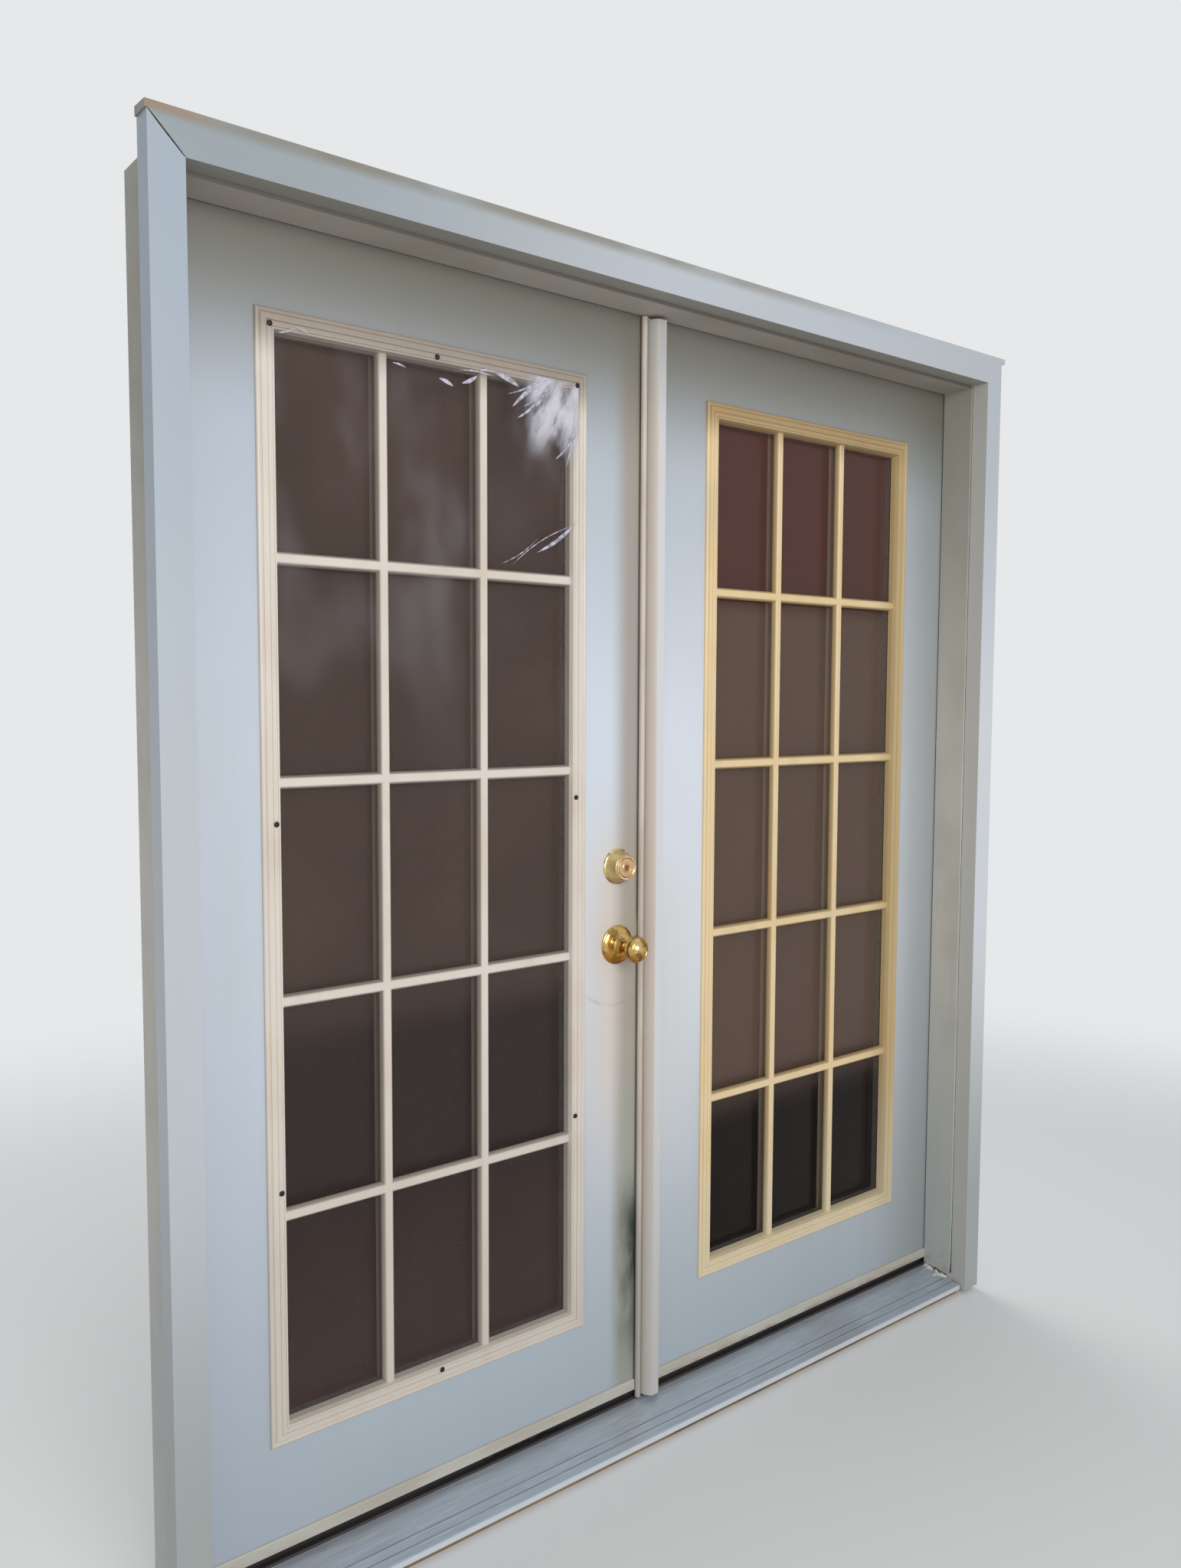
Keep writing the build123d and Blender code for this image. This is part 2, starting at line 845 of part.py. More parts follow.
def storm_sheet():
    width = daylight_width + 2 * storm_border
    height = daylight_height + 2 * storm_border
    sheet = Pos(0, 0, band_height + storm_thickness / 2) * Box(width, height, storm_thickness)
    for x, y in storm_screw_places():
        sheet -= storm_screw(x, y, running_clearance)
    return mirrored(flat_to_face(sheet, outside=True))


def storm_sheet_screws():
    top = band_height + storm_thickness
    dome = storm_screw_head / 2
    screws = []
    for x, y in storm_screw_places():
        profile = [(0, 0), (storm_screw_head, 0), (storm_screw_head * 0.8, dome * 0.7), (0, dome)]
        head = turned(profile, (x, y, top), (0, 0, 1))
        screws.append(storm_screw(x, y) + head)
    return mirrored(flat_to_face(group(screws), outside=True))


def storm_holes():
    """Pilot holes of the storm sheet's screws in the left leaf's outer glazing frame."""
    holes = [storm_screw(x, y, running_clearance) for x, y in storm_screw_places()]
    return mirrored(flat_to_face(group(holes), outside=True))


# Sweep

def sweep(band_start):
    """A pale band on the face, its leg under the leaf and the dark fins that hang from it."""
    x0 = leaf_inner_x + sweep_end_inset
    x1 = leaf_outer_x - sweep_end_inset
    band_low = leaf_bottom_z - sweep_band_drop
    band_high = band_low + sweep_band_height
    leg_low = leaf_bottom_z - sweep_leg
    front = leaf_face_y - sweep_band_proud
    section = [
        (front, band_low),
        (leaf_face_y, band_low),
        (leaf_face_y, band_high),
        (front + sweep_leg, band_high),
        (front, band_high - sweep_leg),
    ]
    band = lineal(section, band_start, stop_x - band_end_gap)
    leg = box(x0, x1, leaf_face_y, leaf_back_y - sweep_end_inset, leg_low, leaf_bottom_z)
    pieces = [band + leg]
    fin_low = threshold_top_z + fin_clearance
    for setback in fin_setbacks:
        y = leaf_face_y + setback
        pieces.append(box(x0, x1, y, y + fin_thickness, fin_low, leg_low))
    return group(pieces)


# Locks, drawn on the right-hand leaf and mirrored to the left-hand one

def faceplate(z):
    half_height = faceplate_height / 2
    half_width = faceplate_width / 2
    x1 = leaf_inner_x + faceplate_thickness
    return box(
        leaf_inner_x,
        x1,
        leaf_mid_y - half_width,
        leaf_mid_y + half_width,
        z - half_height,
        z + half_height,
    )


def bolt_space(height, width, z, x0, x1):
    """A bolt's rectangular way, wider and higher than the bolt by the fit all round."""
    half_height = height / 2 + fit_clearance
    half_width = width / 2 + fit_clearance
    return box(x0, x1, leaf_mid_y - half_width, leaf_mid_y + half_width, z - half_height, z + half_height)


def edge_faceplates():
    plates = []
    sizes = ((knob_z, latch_height, latch_width), (deadbolt_z, deadbolt_height, deadbolt_width))
    for z, height, width in sizes:
        way = bolt_space(height, width, z, leaf_inner_x, leaf_inner_x + faceplate_thickness)
        plates.append(faceplate(z) - way)
    return group(plates)


def bolt_case(z, height, width, spindle):
    """A tube from the faceplate past the spindle, open at the front and closed behind."""
    x0 = leaf_inner_x + faceplate_thickness
    tube = rod((x0, leaf_mid_y, z), (1, 0, 0), case_radius, case_length)
    tube -= bolt_space(height, width, z, x0, x0 + case_length - case_end_wall)
    start = (lock_x, leaf_mid_y - case_radius, z)
    tube -= rod(start, (0, 1, 0), spindle + running_clearance, 2 * case_radius)
    return tube


def bolt_cases():
    latch = bolt_case(knob_z, latch_height, latch_width, spindle_radius)
    dead = bolt_case(deadbolt_z, deadbolt_height, deadbolt_width, spindle_radius)
    return group([latch, dead])


def bolt_bar(z, height, width, length):
    """A bolt drawn back flush with the edge, with the thin tail that the spindle moves."""
    x0 = leaf_inner_x + fit_clearance
    half_height = height / 2
    half_width = width / 2
    top = z + half_height
    bolt = box(x0, x0 + length, leaf_mid_y - half_width, leaf_mid_y + half_width, z - half_height, top)
    tail = box(
        x0 + length,
        x0 + length + tail_length,
        leaf_mid_y - half_width / 2,
        leaf_mid_y + half_width / 2,
        top - tail_height,
        top,
    )
    return bolt + tail


def deadbolt_bolt():
    return bolt_bar(deadbolt_z, deadbolt_height, deadbolt_width, deadbolt_length)


def latch_bolt():
    """The spring latch, with its nose bevelled on the side that meets the strike first."""
    bolt = bolt_bar(knob_z, latch_height, latch_width, latch_length)
    x0 = leaf_inner_x + fit_clearance
    low_y = leaf_mid_y - latch_width / 2
    bevel = [(x0, low_y), (x0 + latch_throw, low_y), (x0, low_y + latch_width * 0.8)]
    return bolt - column(bevel, knob_z - latch_height, knob_z + latch_height)


def deadbolt_collar():
    """The tapered guard round the key cylinder."""
    bore = cylinder_radius + running_clearance
    rim = collar_proud / 10
    profile = [
        (bore, 0),
        (collar_base_radius, 0),
        (collar_base_radius, rim),
        (collar_base_radius - rim / 2, 1.5 * rim),
        (collar_face_radius + rim / 2, collar_proud - rim / 2),
        (collar_face_radius - rim / 3, collar_proud),
        (bore + rim / 2, collar_proud),
        (bore, collar_proud - rim / 2),
    ]
    return turned(profile, (lock_x, leaf_face_y, deadbolt_z), (0, -1, 0))


def deadbolt_cylinder():
    """The key cylinder, from the bolt's case to just inside the collar's face."""
    front = collar_proud - 1.5
    back = leaf_thickness / 2 - case_radius - fit_clearance
    start = (lock_x, leaf_face_y + back, deadbolt_z)
    body = rod(start, (0, -1, 0), cylinder_radius, back + front)
    face_y = leaf_face_y - front
    body -= box(
        lock_x - keyway_width / 2,
        lock_x + keyway_width / 2,
        face_y,
        face_y + keyway_height,
        deadbolt_z - keyway_height / 2,
        deadbolt_z + keyway_height / 2,
    )
    return body


def deadbolt_inner_rose():
    profile = [
        (spindle_radius * 2 + running_clearance, 0),
        (collar_base_radius, 0),
        (collar_base_radius, rose_proud / 2),
        (collar_base_radius - rose_proud / 2, rose_proud),
        (spindle_radius * 2 + running_clearance, rose_proud),
    ]
    return turned(profile, (lock_x, leaf_back_y, deadbolt_z), (0, 1, 0))


def thumb_turn():
    """The inside turn piece with the spindle that drives the deadbolt."""
    turn = rod((lock_x, leaf_back_y, deadbolt_z), (0, 1, 0), spindle_radius * 2, rose_proud + fit_clearance)
    length = leaf_thickness / 2 + case_radius / 2
    turn += rod((lock_x, leaf_back_y, deadbolt_z), (0, -1, 0), spindle_radius, length)
    y0 = leaf_back_y + rose_proud + fit_clearance
    turn += box(
        lock_x - turn_blade_length / 2,
        lock_x + turn_blade_length / 2,
        y0,
        y0 + turn_blade_proud,
        deadbolt_z - turn_blade_width / 2,
        deadbolt_z + turn_blade_width / 2,
    )
    return turn


def knob_rose(y, direction):
    bore = knob_neck_radius + running_clearance
    shoulder = rose_proud / 3
    profile = [
        (bore, 0),
        (rose_radius, 0),
        (rose_radius, shoulder),
        (rose_radius - shoulder, 2 * shoulder),
        (rose_radius / 2 + shoulder, rose_proud),
        (bore, rose_proud),
    ]
    return turned(profile, (lock_x, y, knob_z), (0, direction, 0))


def knob_roses():
    return group([knob_rose(leaf_face_y, -1), knob_rose(leaf_back_y, 1)])


def knob(y, direction):
    """A round knob: a straight neck, a flare and a full rounded head."""
    flare = knob_centre - knob_radius * 0.85
    outline = Polyline((0, 0), (knob_neck_radius, 0), (knob_neck_radius, flare * 0.8))
    outline += ThreePointArc(
        (knob_neck_radius, flare * 0.8),
        (knob_radius * 0.72, flare + knob_radius * 0.22),
        (knob_radius, knob_centre),
    )
    outline += ThreePointArc(
        (knob_radius, knob_centre),
        (knob_radius * 0.82, knob_centre + (knob_front - knob_centre) * 0.68),
        (knob_radius * 0.45, knob_front),
    )
    outline += Polyline((knob_radius * 0.45, knob_front), (0, knob_front), (0, 0))
    solid = revolve(Plane.XZ * make_face(outline), Axis.Z)
    return Plane(origin=(lock_x, y, knob_z), z_dir=(0, direction, 0)).location * solid


def outer_knob():
    spindle = rod((lock_x, leaf_face_y, knob_z), (0, 1, 0), spindle_radius, leaf_thickness)
    return knob(leaf_face_y, -1) + spindle


def inner_knob():
    return knob(leaf_back_y, 1)


# Meeting edge of the right leaf

def astragal_section():
    front_y = leaf_face_y - astragal_front
    back_y = leaf_face_y - astragal_back_gap
    mid_left = (-astragal_reach * 0.75, back_y - (back_y - front_y) * 0.55)
    shoulder_x = astragal_right - (astragal_right - astragal_nose_right) * 0.3
    mid_right = (shoulder_x, front_y + astragal_front * 0.4)
    left = ThreePointArc((-astragal_reach, back_y), mid_left, (astragal_nose_left, front_y))
    front = Line((astragal_nose_left, front_y), (astragal_nose_right, front_y))
    right = ThreePointArc((astragal_nose_right, front_y), mid_right, (astragal_right, leaf_face_y))
    web = Polyline(
        (astragal_right, leaf_face_y),
        (leaf_inner_x, leaf_face_y),
        (leaf_inner_x, leaf_back_y - sweep_end_inset),
        (web_x, leaf_back_y - sweep_end_inset),
        (web_x, back_y),
        (-astragal_reach, back_y),
    )
    return make_face(left + front + right + web)


def strike_plate(z):
    half_height = strike_height / 2
    half_width = strike_width / 2
    return box(
        web_x,
        web_x + strike_thickness,
        leaf_mid_y - half_width,
        leaf_mid_y + half_width,
        z - half_height,
        z + half_height,
    )


def strike_ways():
    """What the two bolts need behind the strikes, in the astragal's web and the stile."""
    dead = bolt_space(deadbolt_height, deadbolt_width, deadbolt_z, web_x, leaf_inner_x + deadbolt_throw)
    latch = bolt_space(latch_height, latch_width, knob_z, web_x, leaf_inner_x + latch_throw)
    return [dead, latch]


def astragal():
    top_z = head_stop_z - astragal_head_gap
    height = top_z - astragal_bottom_z
    bar_solid = Pos(0, 0, astragal_bottom_z) * extrude(astragal_section(), amount=height)
    for z in (knob_z, deadbolt_z):
        bar_solid -= strike_plate(z)
    for way in strike_ways():
        bar_solid -= way
    for slot in flush_slots():
        bar_solid -= slot
    return bar_solid


def astragal_seal():
    """A hollow bulb just in front of the left leaf's face, with a flange behind the astragal."""
    centre_x = seal_radius - seal_left
    centre_y = leaf_face_y - seal_clearance - seal_radius
    back_y = leaf_face_y - astragal_back_gap
    height = head_stop_z - seal_head_gap - seal_bottom_z
    tube = rod((centre_x, centre_y, seal_bottom_z), (0, 0, 1), seal_radius, height)
    flange = box(centre_x, web_x, back_y, back_y + seal_flange, seal_bottom_z, seal_bottom_z + height)
    bore = rod((centre_x, centre_y, seal_bottom_z), (0, 0, 1), seal_radius - seal_wall, height)
    return tube + flange - bore


def strike_plates():
    plates = group([strike_plate(knob_z), strike_plate(deadbolt_z)])
    for way in strike_ways():
        plates -= way
    return group([plates])


def flush_spans():
    """Each flush bolt's lower end, upper end, thumb height and upward travel."""
    top_end = leaf_top_z - flush_recess
    bottom_end = leaf_bottom_z + flush_recess
    top = (top_end - flush_length, top_end, top_end - flush_length + flush_thumb_setback, flush_top_throw)
    upper_thumb = bottom_end + flush_length - flush_thumb_setback
    bottom = (bottom_end, bottom_end + flush_length, upper_thumb, -flush_bottom_throw)
    return top, bottom


def flush_bolt(span):
    low_z, high_z, thumb_z, travel = span
    bolt = rod((flush_x, leaf_mid_y, low_z), (0, 0, 1), flush_radius, high_z - low_z)
    half_height = flush_thumb_height / 2
    half_width = flush_thumb_width / 2
    thumb = box(
        web_x + strike_thickness,
        flush_x,
        leaf_mid_y - half_width,
        leaf_mid_y + half_width,
        thumb_z - half_height,
        thumb_z + half_height,
    )
    return bolt + thumb


def flush_slots():
    """The slots in the edge that the flush bolts' thumb pieces slide in."""
    slots = []
    half_height = flush_thumb_height / 2 + fit_clearance
    half_width = flush_thumb_width / 2 + fit_clearance
    for low_z, high_z, thumb_z, travel in flush_spans():
        z0 = thumb_z + min(travel, 0) - half_height
        z1 = thumb_z + max(travel, 0) + half_height
        slots.append(box(web_x, flush_x, leaf_mid_y - half_width, leaf_mid_y + half_width, z0, z1))
    return slots


def passive_lock_stile():
    stile = lock_stile()
    for way in strike_ways():
        stile -= way
    for slot in flush_slots():
        stile -= slot
    radius = flush_radius + running_clearance
    for low_z, high_z, thumb_z, travel in flush_spans():
        z0 = low_z + min(travel, 0)
        z1 = high_z + max(travel, 0)
        stile -= rod((flush_x, leaf_mid_y, z0), (0, 0, 1), radius, z1 - z0)
    return stile


def passive_sweep():
    """The right leaf's sweep, holed for the bottom flush bolt."""
    hole = rod(
        (flush_x, leaf_mid_y, threshold_top_z),
        (0, 0, 1),
        flush_radius + fit_clearance,
        leaf_bottom_z - threshold_top_z,
    )
    band_start = astragal_right + band_end_gap
    return group([solid - hole for solid in sweep(band_start).solids()])


def door_hinge_leaves():
    screws = hinge_screws(leaf_outer_x, -1, running_clearance)
    return group(hinge_halves(leaf_outer_x - hinge_plate, leaf_outer_x, (1, 3), screws))


def door_hinge_screws():
    return group(hinge_screws(leaf_outer_x, -1))


def frame_nodes():
    jamb = right_jamb()
    leg = casing_leg()
    return {
        "right_jamb": jamb,
        "left_jamb": mirrored(jamb),
        "head_jamb": head_jamb(),
        "right_casing": leg,
        "left_casing": mirrored(leg),
        "head_casing": head_casing(),
        "drip_cap": drip_cap(),
        "sill_base": sill_base(),
        "sill_plate": sill_plate(),
        "threshold_cap": threshold_cap(),
        "weatherstrips": weatherstrips(),
        "frame_hinge_leaves": frame_hinge_leaves(),
        "hinge_pins": hinge_pins(),
        "frame_hinge_screws": frame_hinge_screws(),
        "bolt_keepers": bolt_keepers(),
    }


def active_nodes():
    """The left leaf, which opens first and carries the locks."""
    space = lock_block_space()
    drawn = {
        "active_outer_skin": bored(skin(leaf_face_y, 1)),
        "active_inner_skin": bored(skin(leaf_back_y, -1)),
        "active_core": bored(core() - space),
        "active_stiles": group([hinge_stile(), bored(lock_stile())]),
        "lock_block": bored(space),
        "active_rails": rails(),
        "active_inner_glazing_frame": inner_glazing_frame(),
        "active_panes": panes(),
        "active_spacer": spacer(),
        "active_glazing_screws": glazing_screws(),
        "active_sweep": sweep(seal_left + band_end_gap),
        "active_hinge_leaves": door_hinge_leaves(),
        "active_hinge_screws": door_hinge_screws(),
        "deadbolt_collar": deadbolt_collar(),
        "deadbolt_cylinder": deadbolt_cylinder(),
        "deadbolt_inner_rose": deadbolt_inner_rose(),
        "deadbolt_bolt": deadbolt_bolt(),
        "thumb_turn": thumb_turn(),
        "bolt_cases": bolt_cases(),
        "edge_faceplates": edge_faceplates(),
        "knob_roses": knob_roses(),
        "outer_knob": outer_knob(),
        "inner_knob": inner_knob(),
        "latch_bolt": latch_bolt(),
    }
    nodes = {name: mirrored(shape) for name, shape in drawn.items()}
    nodes["active_outer_glazing_frame"] = mirrored(outer_glazing_frame()) - storm_holes()
    nodes["storm_sheet"] = storm_sheet()
    nodes["storm_sheet_screws"] = storm_sheet_screws()
    return nodes


def passive_nodes():
    """The right leaf, which follows and carries the astragal."""
    top_span, bottom_span = flush_spans()
    return {
        "passive_outer_skin": skin(leaf_face_y, 1),
        "passive_inner_skin": skin(leaf_back_y, -1),
        "passive_core": core(),
        "passive_stiles": group([hinge_stile(), passive_lock_stile()]),
        "passive_rails": rails(),
        "passive_outer_glazing_frame": outer_glazing_frame(),
        "passive_inner_glazing_frame": inner_glazing_frame(),
        "passive_panes": panes(),
        "passive_spacer": spacer(),
        "passive_glazing_screws": glazing_screws(),
        "passive_sweep": passive_sweep(),
        "passive_hinge_leaves": door_hinge_leaves(),
        "passive_hinge_screws": door_hinge_screws(),
        "astragal": astragal(),
        "astragal_seal": astragal_seal(),
        "strike_plates": strike_plates(),
        "top_flush_bolt": flush_bolt(top_span),
        "bottom_flush_bolt": flush_bolt(bottom_span),
    }


os.makedirs("parts", exist_ok=True)
for node_group in (frame_nodes(), active_nodes(), passive_nodes()):
    for name, shape in node_group.items():
        export_step(shape, f"parts/{name}.step")
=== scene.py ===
import bpy
import numpy as np
from mathutils import Matrix, Vector


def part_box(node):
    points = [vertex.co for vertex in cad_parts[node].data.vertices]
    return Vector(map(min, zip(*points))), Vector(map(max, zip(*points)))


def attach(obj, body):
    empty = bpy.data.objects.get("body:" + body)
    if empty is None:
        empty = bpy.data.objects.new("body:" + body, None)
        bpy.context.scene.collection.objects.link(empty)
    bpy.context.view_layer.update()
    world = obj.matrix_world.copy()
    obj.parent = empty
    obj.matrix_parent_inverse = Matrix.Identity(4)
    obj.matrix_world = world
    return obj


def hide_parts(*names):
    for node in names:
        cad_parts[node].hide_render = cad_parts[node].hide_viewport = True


# French doors in their frame: the finish of every piece, the lock's turned trim, and what is too thin
# or too small for the solids, such as the storm sheet's folds, open joints and old caulk.

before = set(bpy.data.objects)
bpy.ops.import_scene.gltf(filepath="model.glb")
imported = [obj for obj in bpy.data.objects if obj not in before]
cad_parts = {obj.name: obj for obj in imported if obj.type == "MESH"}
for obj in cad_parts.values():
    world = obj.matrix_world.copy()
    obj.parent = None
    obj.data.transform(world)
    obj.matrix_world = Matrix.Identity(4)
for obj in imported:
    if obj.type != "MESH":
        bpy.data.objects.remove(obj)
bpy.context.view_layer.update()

MM = 0.001

# How a pattern is stretched: not at all, drawn out upwards, or drawn out across the doors
EVEN = (1, 1, 1)
UPRIGHT = (1, 1, 0.06)
ACROSS = (0.05, 1, 1)

# Sizes and places that the frame's boxes don't give, in metres. The slope is fall over depth.
SILL_SLOPE = 0.137
SILL_GROOVES = (-0.010, 0.008)
BAR_HEIGHT = 0.0105
HALF_LITE = 0.0901
INNER_BAR_HALF = 0.0102
SWEEP_BAND_LOW = 0.0515
FIN_TIP = 0.0436
CAULK_START = 0.005
CAULK_LENGTH = 0.061

# Where the photograph was taken from: place in metres, angles in degrees, focal length in its pixels
CAMERA_PLACE = (-1.4392, -1.5786, 1.3260)
CAMERA_PAN = 38.50
CAMERA_TILT = -4.055
CAMERA_ROLL = 0.223
FOCAL_PIXELS = 1595.0
PHOTO_HEIGHT = 2048.0

# Fades that keep a layer to one leaf or to one side of the frame
LEFT_LEAF = ("X", 0.05, -0.05)
RIGHT_LEAF = ("X", -0.05, 0.05)
LEFT_SIDE = ("X", 0.5, -0.5)
RIGHT_SIDE = ("X", 0, 0.5)

# Where things are, from the frame
left_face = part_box("active_outer_skin")
left_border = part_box("active_outer_glazing_frame")
sheet_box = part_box("storm_sheet")
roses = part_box("knob_roses")
head_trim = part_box("head_casing")
left_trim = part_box("left_casing")
right_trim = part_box("right_casing")
right_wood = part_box("right_jamb")
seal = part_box("astragal_seal")
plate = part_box("sill_plate")
face_y = left_face[0].y
lock_x = (roses[0].x + roses[1].x) / 2
knob_z = (roses[0].z + roses[1].z) / 2
lock_edge = left_face[1].x
trim_front = head_trim[0].y
reveal_right = right_wood[0].x
inside_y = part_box("active_inner_skin")[1].y
collar_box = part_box("deadbolt_collar")
bolt_z = (collar_box[0].z + collar_box[1].z) / 2
bolt_front = collar_box[0].y
film_right = sheet_box[1].x
film_top = sheet_box[1].z


def sill_top(y):
    """Height of the sill plate's top, which falls towards the front by its slope times the distance."""
    return plate[1].z - SILL_SLOPE * (plate[1].y - y)


def band(axis, centre, half, soft):
    """The two fades that keep a layer to a band: half is half its width, soft half of each edge's blur."""
    low = (axis, centre - half - soft, centre - half + soft)
    high = (axis, centre + half + soft, centre + half - soft)
    return [low, high]


# Materials: tints are sRGB, the sizes of patterns are millimetres of the real finish, and fades are at
# places in metres, up from the sill's underside. Brush marks, the sill's die lines and the spangle on
# zinc are drawn coarser than the real ones, so that they show.

def linear(code):
    """An sRGB hex colour as linear RGBA."""
    parts = [int(code[i:i + 2], 16) / 255 for i in (1, 3, 5)]
    return tuple(p / 12.92 if p <= 0.04045 else ((p + 0.055) / 1.055) ** 2.4 for p in parts) + (1.0,)


def add(tree, kind, links=(), **settings):
    """Adds a node, sets it up, and links or fills its inputs."""
    node = tree.nodes.new(kind)
    for name, value in settings.items():
        setattr(node, name, value)
    for socket, value in dict(links).items():
        if isinstance(value, bpy.types.NodeSocket):
            tree.links.new(value, node.inputs[socket])
        else:
            node.inputs[socket].default_value = value
    return node


def cover(tree, coords, layer):
    """How much a layer shows at a point: its amount, times noise between two levels where it has a
    size in millimetres, times its fades and arcs. A fade is an axis, where the layer starts to show
    and where it is full; an arc is a centre, a radius and a half width, full over its middle fifth."""
    part = layer["amount"]
    if "size" in layer:
        grain = coords
        if "turn" in layer:
            links = {"Vector": coords, "Rotation": (0, layer["turn"], 0)}
            grain = add(tree, "ShaderNodeMapping", links).outputs[0]
        stretched = add(tree, "ShaderNodeMapping", {"Vector": grain, "Scale": layer.get("stretch", EVEN)})
        scale = 1000 / layer["size"]
        links = {"Vector": stretched.outputs[0], "Scale": scale, "Detail": layer.get("detail", 3)}
        noise = add(tree, "ShaderNodeTexNoise", links)
        low, high = layer["levels"]
        links = {"Value": noise.outputs["Fac"], "From Min": low, "From Max": high, "To Max": part}
        part = add(tree, "ShaderNodeMapRange", links, interpolation_type="SMOOTHSTEP").outputs[0]
    place = add(tree, "ShaderNodeSeparateXYZ", {0: coords})
    for axis, start, end in layer.get("fades", ()):
        links = {"Value": place.outputs[axis], "From Min": start, "From Max": end}
        fade = add(tree, "ShaderNodeMapRange", links, interpolation_type="SMOOTHSTEP")
        part = add(tree, "ShaderNodeMath", {0: part, 1: fade.outputs[0]}, operation="MULTIPLY").outputs[0]
    for centre, radius, width in layer.get("arcs", ()):
        away = add(tree, "ShaderNodeVectorMath", {0: coords, 1: centre}, operation="DISTANCE")
        offset = add(tree, "ShaderNodeMath", {0: away.outputs["Value"], 1: radius}, operation="SUBTRACT")
        size = add(tree, "ShaderNodeMath", {0: offset.outputs[0]}, operation="ABSOLUTE")
        links = {"Value": size.outputs[0], "From Min": width, "From Max": width * 0.2}
        fade = add(tree, "ShaderNodeMapRange", links, interpolation_type="SMOOTHSTEP")
        part = add(tree, "ShaderNodeMath", {0: part, 1: fade.outputs[0]}, operation="MULTIPLY").outputs[0]
    return part


def finish(name, base, layers=(), bumps=(), rough_range=None, opacity=None, **sockets):
    """A Principled surface: a base colour under layers of tint, noise in its roughness, stacked bumps
    and, for glass and film, an opacity that rises from its least value where its veils show. A bump is
    a grain and a height in millimetres and a stretch; rough_range is a grain in millimetres and the
    smoothest and the roughest value."""
    made = bpy.data.materials.new(name)
    made.use_nodes = True
    tree = made.node_tree
    tree.nodes.clear()
    shader = add(tree, "ShaderNodeBsdfPrincipled", sockets)
    add(tree, "ShaderNodeOutputMaterial", {"Surface": shader.outputs[0]})
    coords = add(tree, "ShaderNodeTexCoord").outputs["Object"]
    colour = linear(base)
    for layer in layers:
        links = {"Fac": cover(tree, coords, layer), "Color1": colour, "Color2": linear(layer["tint"])}
        colour = add(tree, "ShaderNodeMixRGB", links).outputs[0]
    if layers:
        tree.links.new(colour, shader.inputs["Base Color"])
    else:
        shader.inputs["Base Color"].default_value = colour
    if rough_range:
        size, smooth, rough = rough_range
        noise = add(tree, "ShaderNodeTexNoise", {"Vector": coords, "Scale": 1000 / size, "Detail": 4})
        links = {"Value": noise.outputs["Fac"], "To Min": smooth, "To Max": rough}
        spread = add(tree, "ShaderNodeMapRange", links)
        tree.links.new(spread.outputs[0], shader.inputs["Roughness"])
    if opacity:
        alpha, veils = opacity
        for veil in veils:
            rise = {0: alpha, 1: cover(tree, coords, veil)}
            alpha = add(tree, "ShaderNodeMath", rise, operation="ADD", use_clamp=True).outputs[0]
        tree.links.new(alpha, shader.inputs["Alpha"])
    normal = None
    for size, height, stretch in bumps:
        stretched = add(tree, "ShaderNodeMapping", {"Vector": coords, "Scale": stretch})
        links = {"Vector": stretched.outputs[0], "Scale": 1000 / size, "Detail": 3}
        noise = add(tree, "ShaderNodeTexNoise", links)
        links = {"Height": noise.outputs["Fac"], "Distance": height * MM}
        if normal:
            links["Normal"] = normal
        normal = add(tree, "ShaderNodeBump", links).outputs[0]
    if normal:
        tree.links.new(normal, shader.inputs["Normal"])
    return made


# Baked enamel on sheet steel: smooth, with a little dust and faint water runs, greyer towards the foot,
# warmer where the leaves meet, and green with mildew beside the astragal's foot. Painted shade darkens
# it upwards, turns it olive grey under the head, and darkens the left leaf's outer part, the right leaf
# towards its jamb, the band beside the astragal and a broken line along the seal. Two arcs are rubbed
# below the knob.
skin_runs = dict(tint="#B4B2A6", amount=0.22, size=50, levels=(0.5, 0.78), stretch=UPRIGHT)
skin_dust = dict(tint="#BFC0B8", amount=0.3, size=500, levels=(0.4, 0.7))
skin_foot = dict(tint="#98A3AA", amount=0.8, fades=[("Z", 0.95, 0.05)])
# Painted shade: darker upwards, and olive grey under the head.
painted_upper_shade = dict(tint="#A0AAB3", amount=0.6, fades=[("Z", 1.2, 1.75)])
painted_head_shade = dict(tint="#6D6A5E", amount=0.95, fades=[("Z", 1.69, 1.97)])
left_warm = dict(
    tint="#D0C4B8",
    amount=0.85,
    fades=[("X", lock_edge - 0.17, lock_edge - 0.07), ("Z", 1.2, 0.95), ("Z", 0.35, 0.75)],
)
# Painted shade beside the astragal, in warm brown-grey.
painted_astragal_shade = dict(tint="#9A9083", amount=0.85, fades=[("X", lock_edge - 0.08, lock_edge - 0.035)])
left_shade = dict(tint="#A9B2BF", amount=0.5, fades=[("X", -0.5, -0.8)])
low_green = dict(
    tint="#98A094",
    amount=0.6,
    fades=[("X", lock_edge - 0.08, lock_edge - 0.03), ("Z", 0.8, 0.45)],
)
mildew = dict(
    tint="#3E473D",
    amount=0.85,
    size=45,
    levels=(0.25, 0.7),
    stretch=(1, 1, 0.3),
    fades=[("X", lock_edge - 0.075, lock_edge - 0.035), ("Z", 0.50, 0.37), ("Z", 0.03, 0.24)],
)
mildew_core = dict(
    tint="#232A22",
    amount=0.9,
    size=20,
    levels=(0.1, 0.5),
    stretch=(1, 1, 0.25),
    fades=[("X", lock_edge - 0.045, lock_edge - 0.02), ("Z", 0.44, 0.35), ("Z", 0.2, 0.3)],
)
# Painted shade: a dark line, broken by noise, on the leaf along the seal's edge.
painted_seal_shade = dict(
    tint="#2B2823",
    amount=0.55,
    size=35,
    levels=(0.3, 0.5),
    stretch=(1, 1, 0.3),
    fades=[("X", seal[0].x - 0.0016, seal[0].x - 0.0008)],
)
arc_centre = (lock_x, face_y, knob_z)
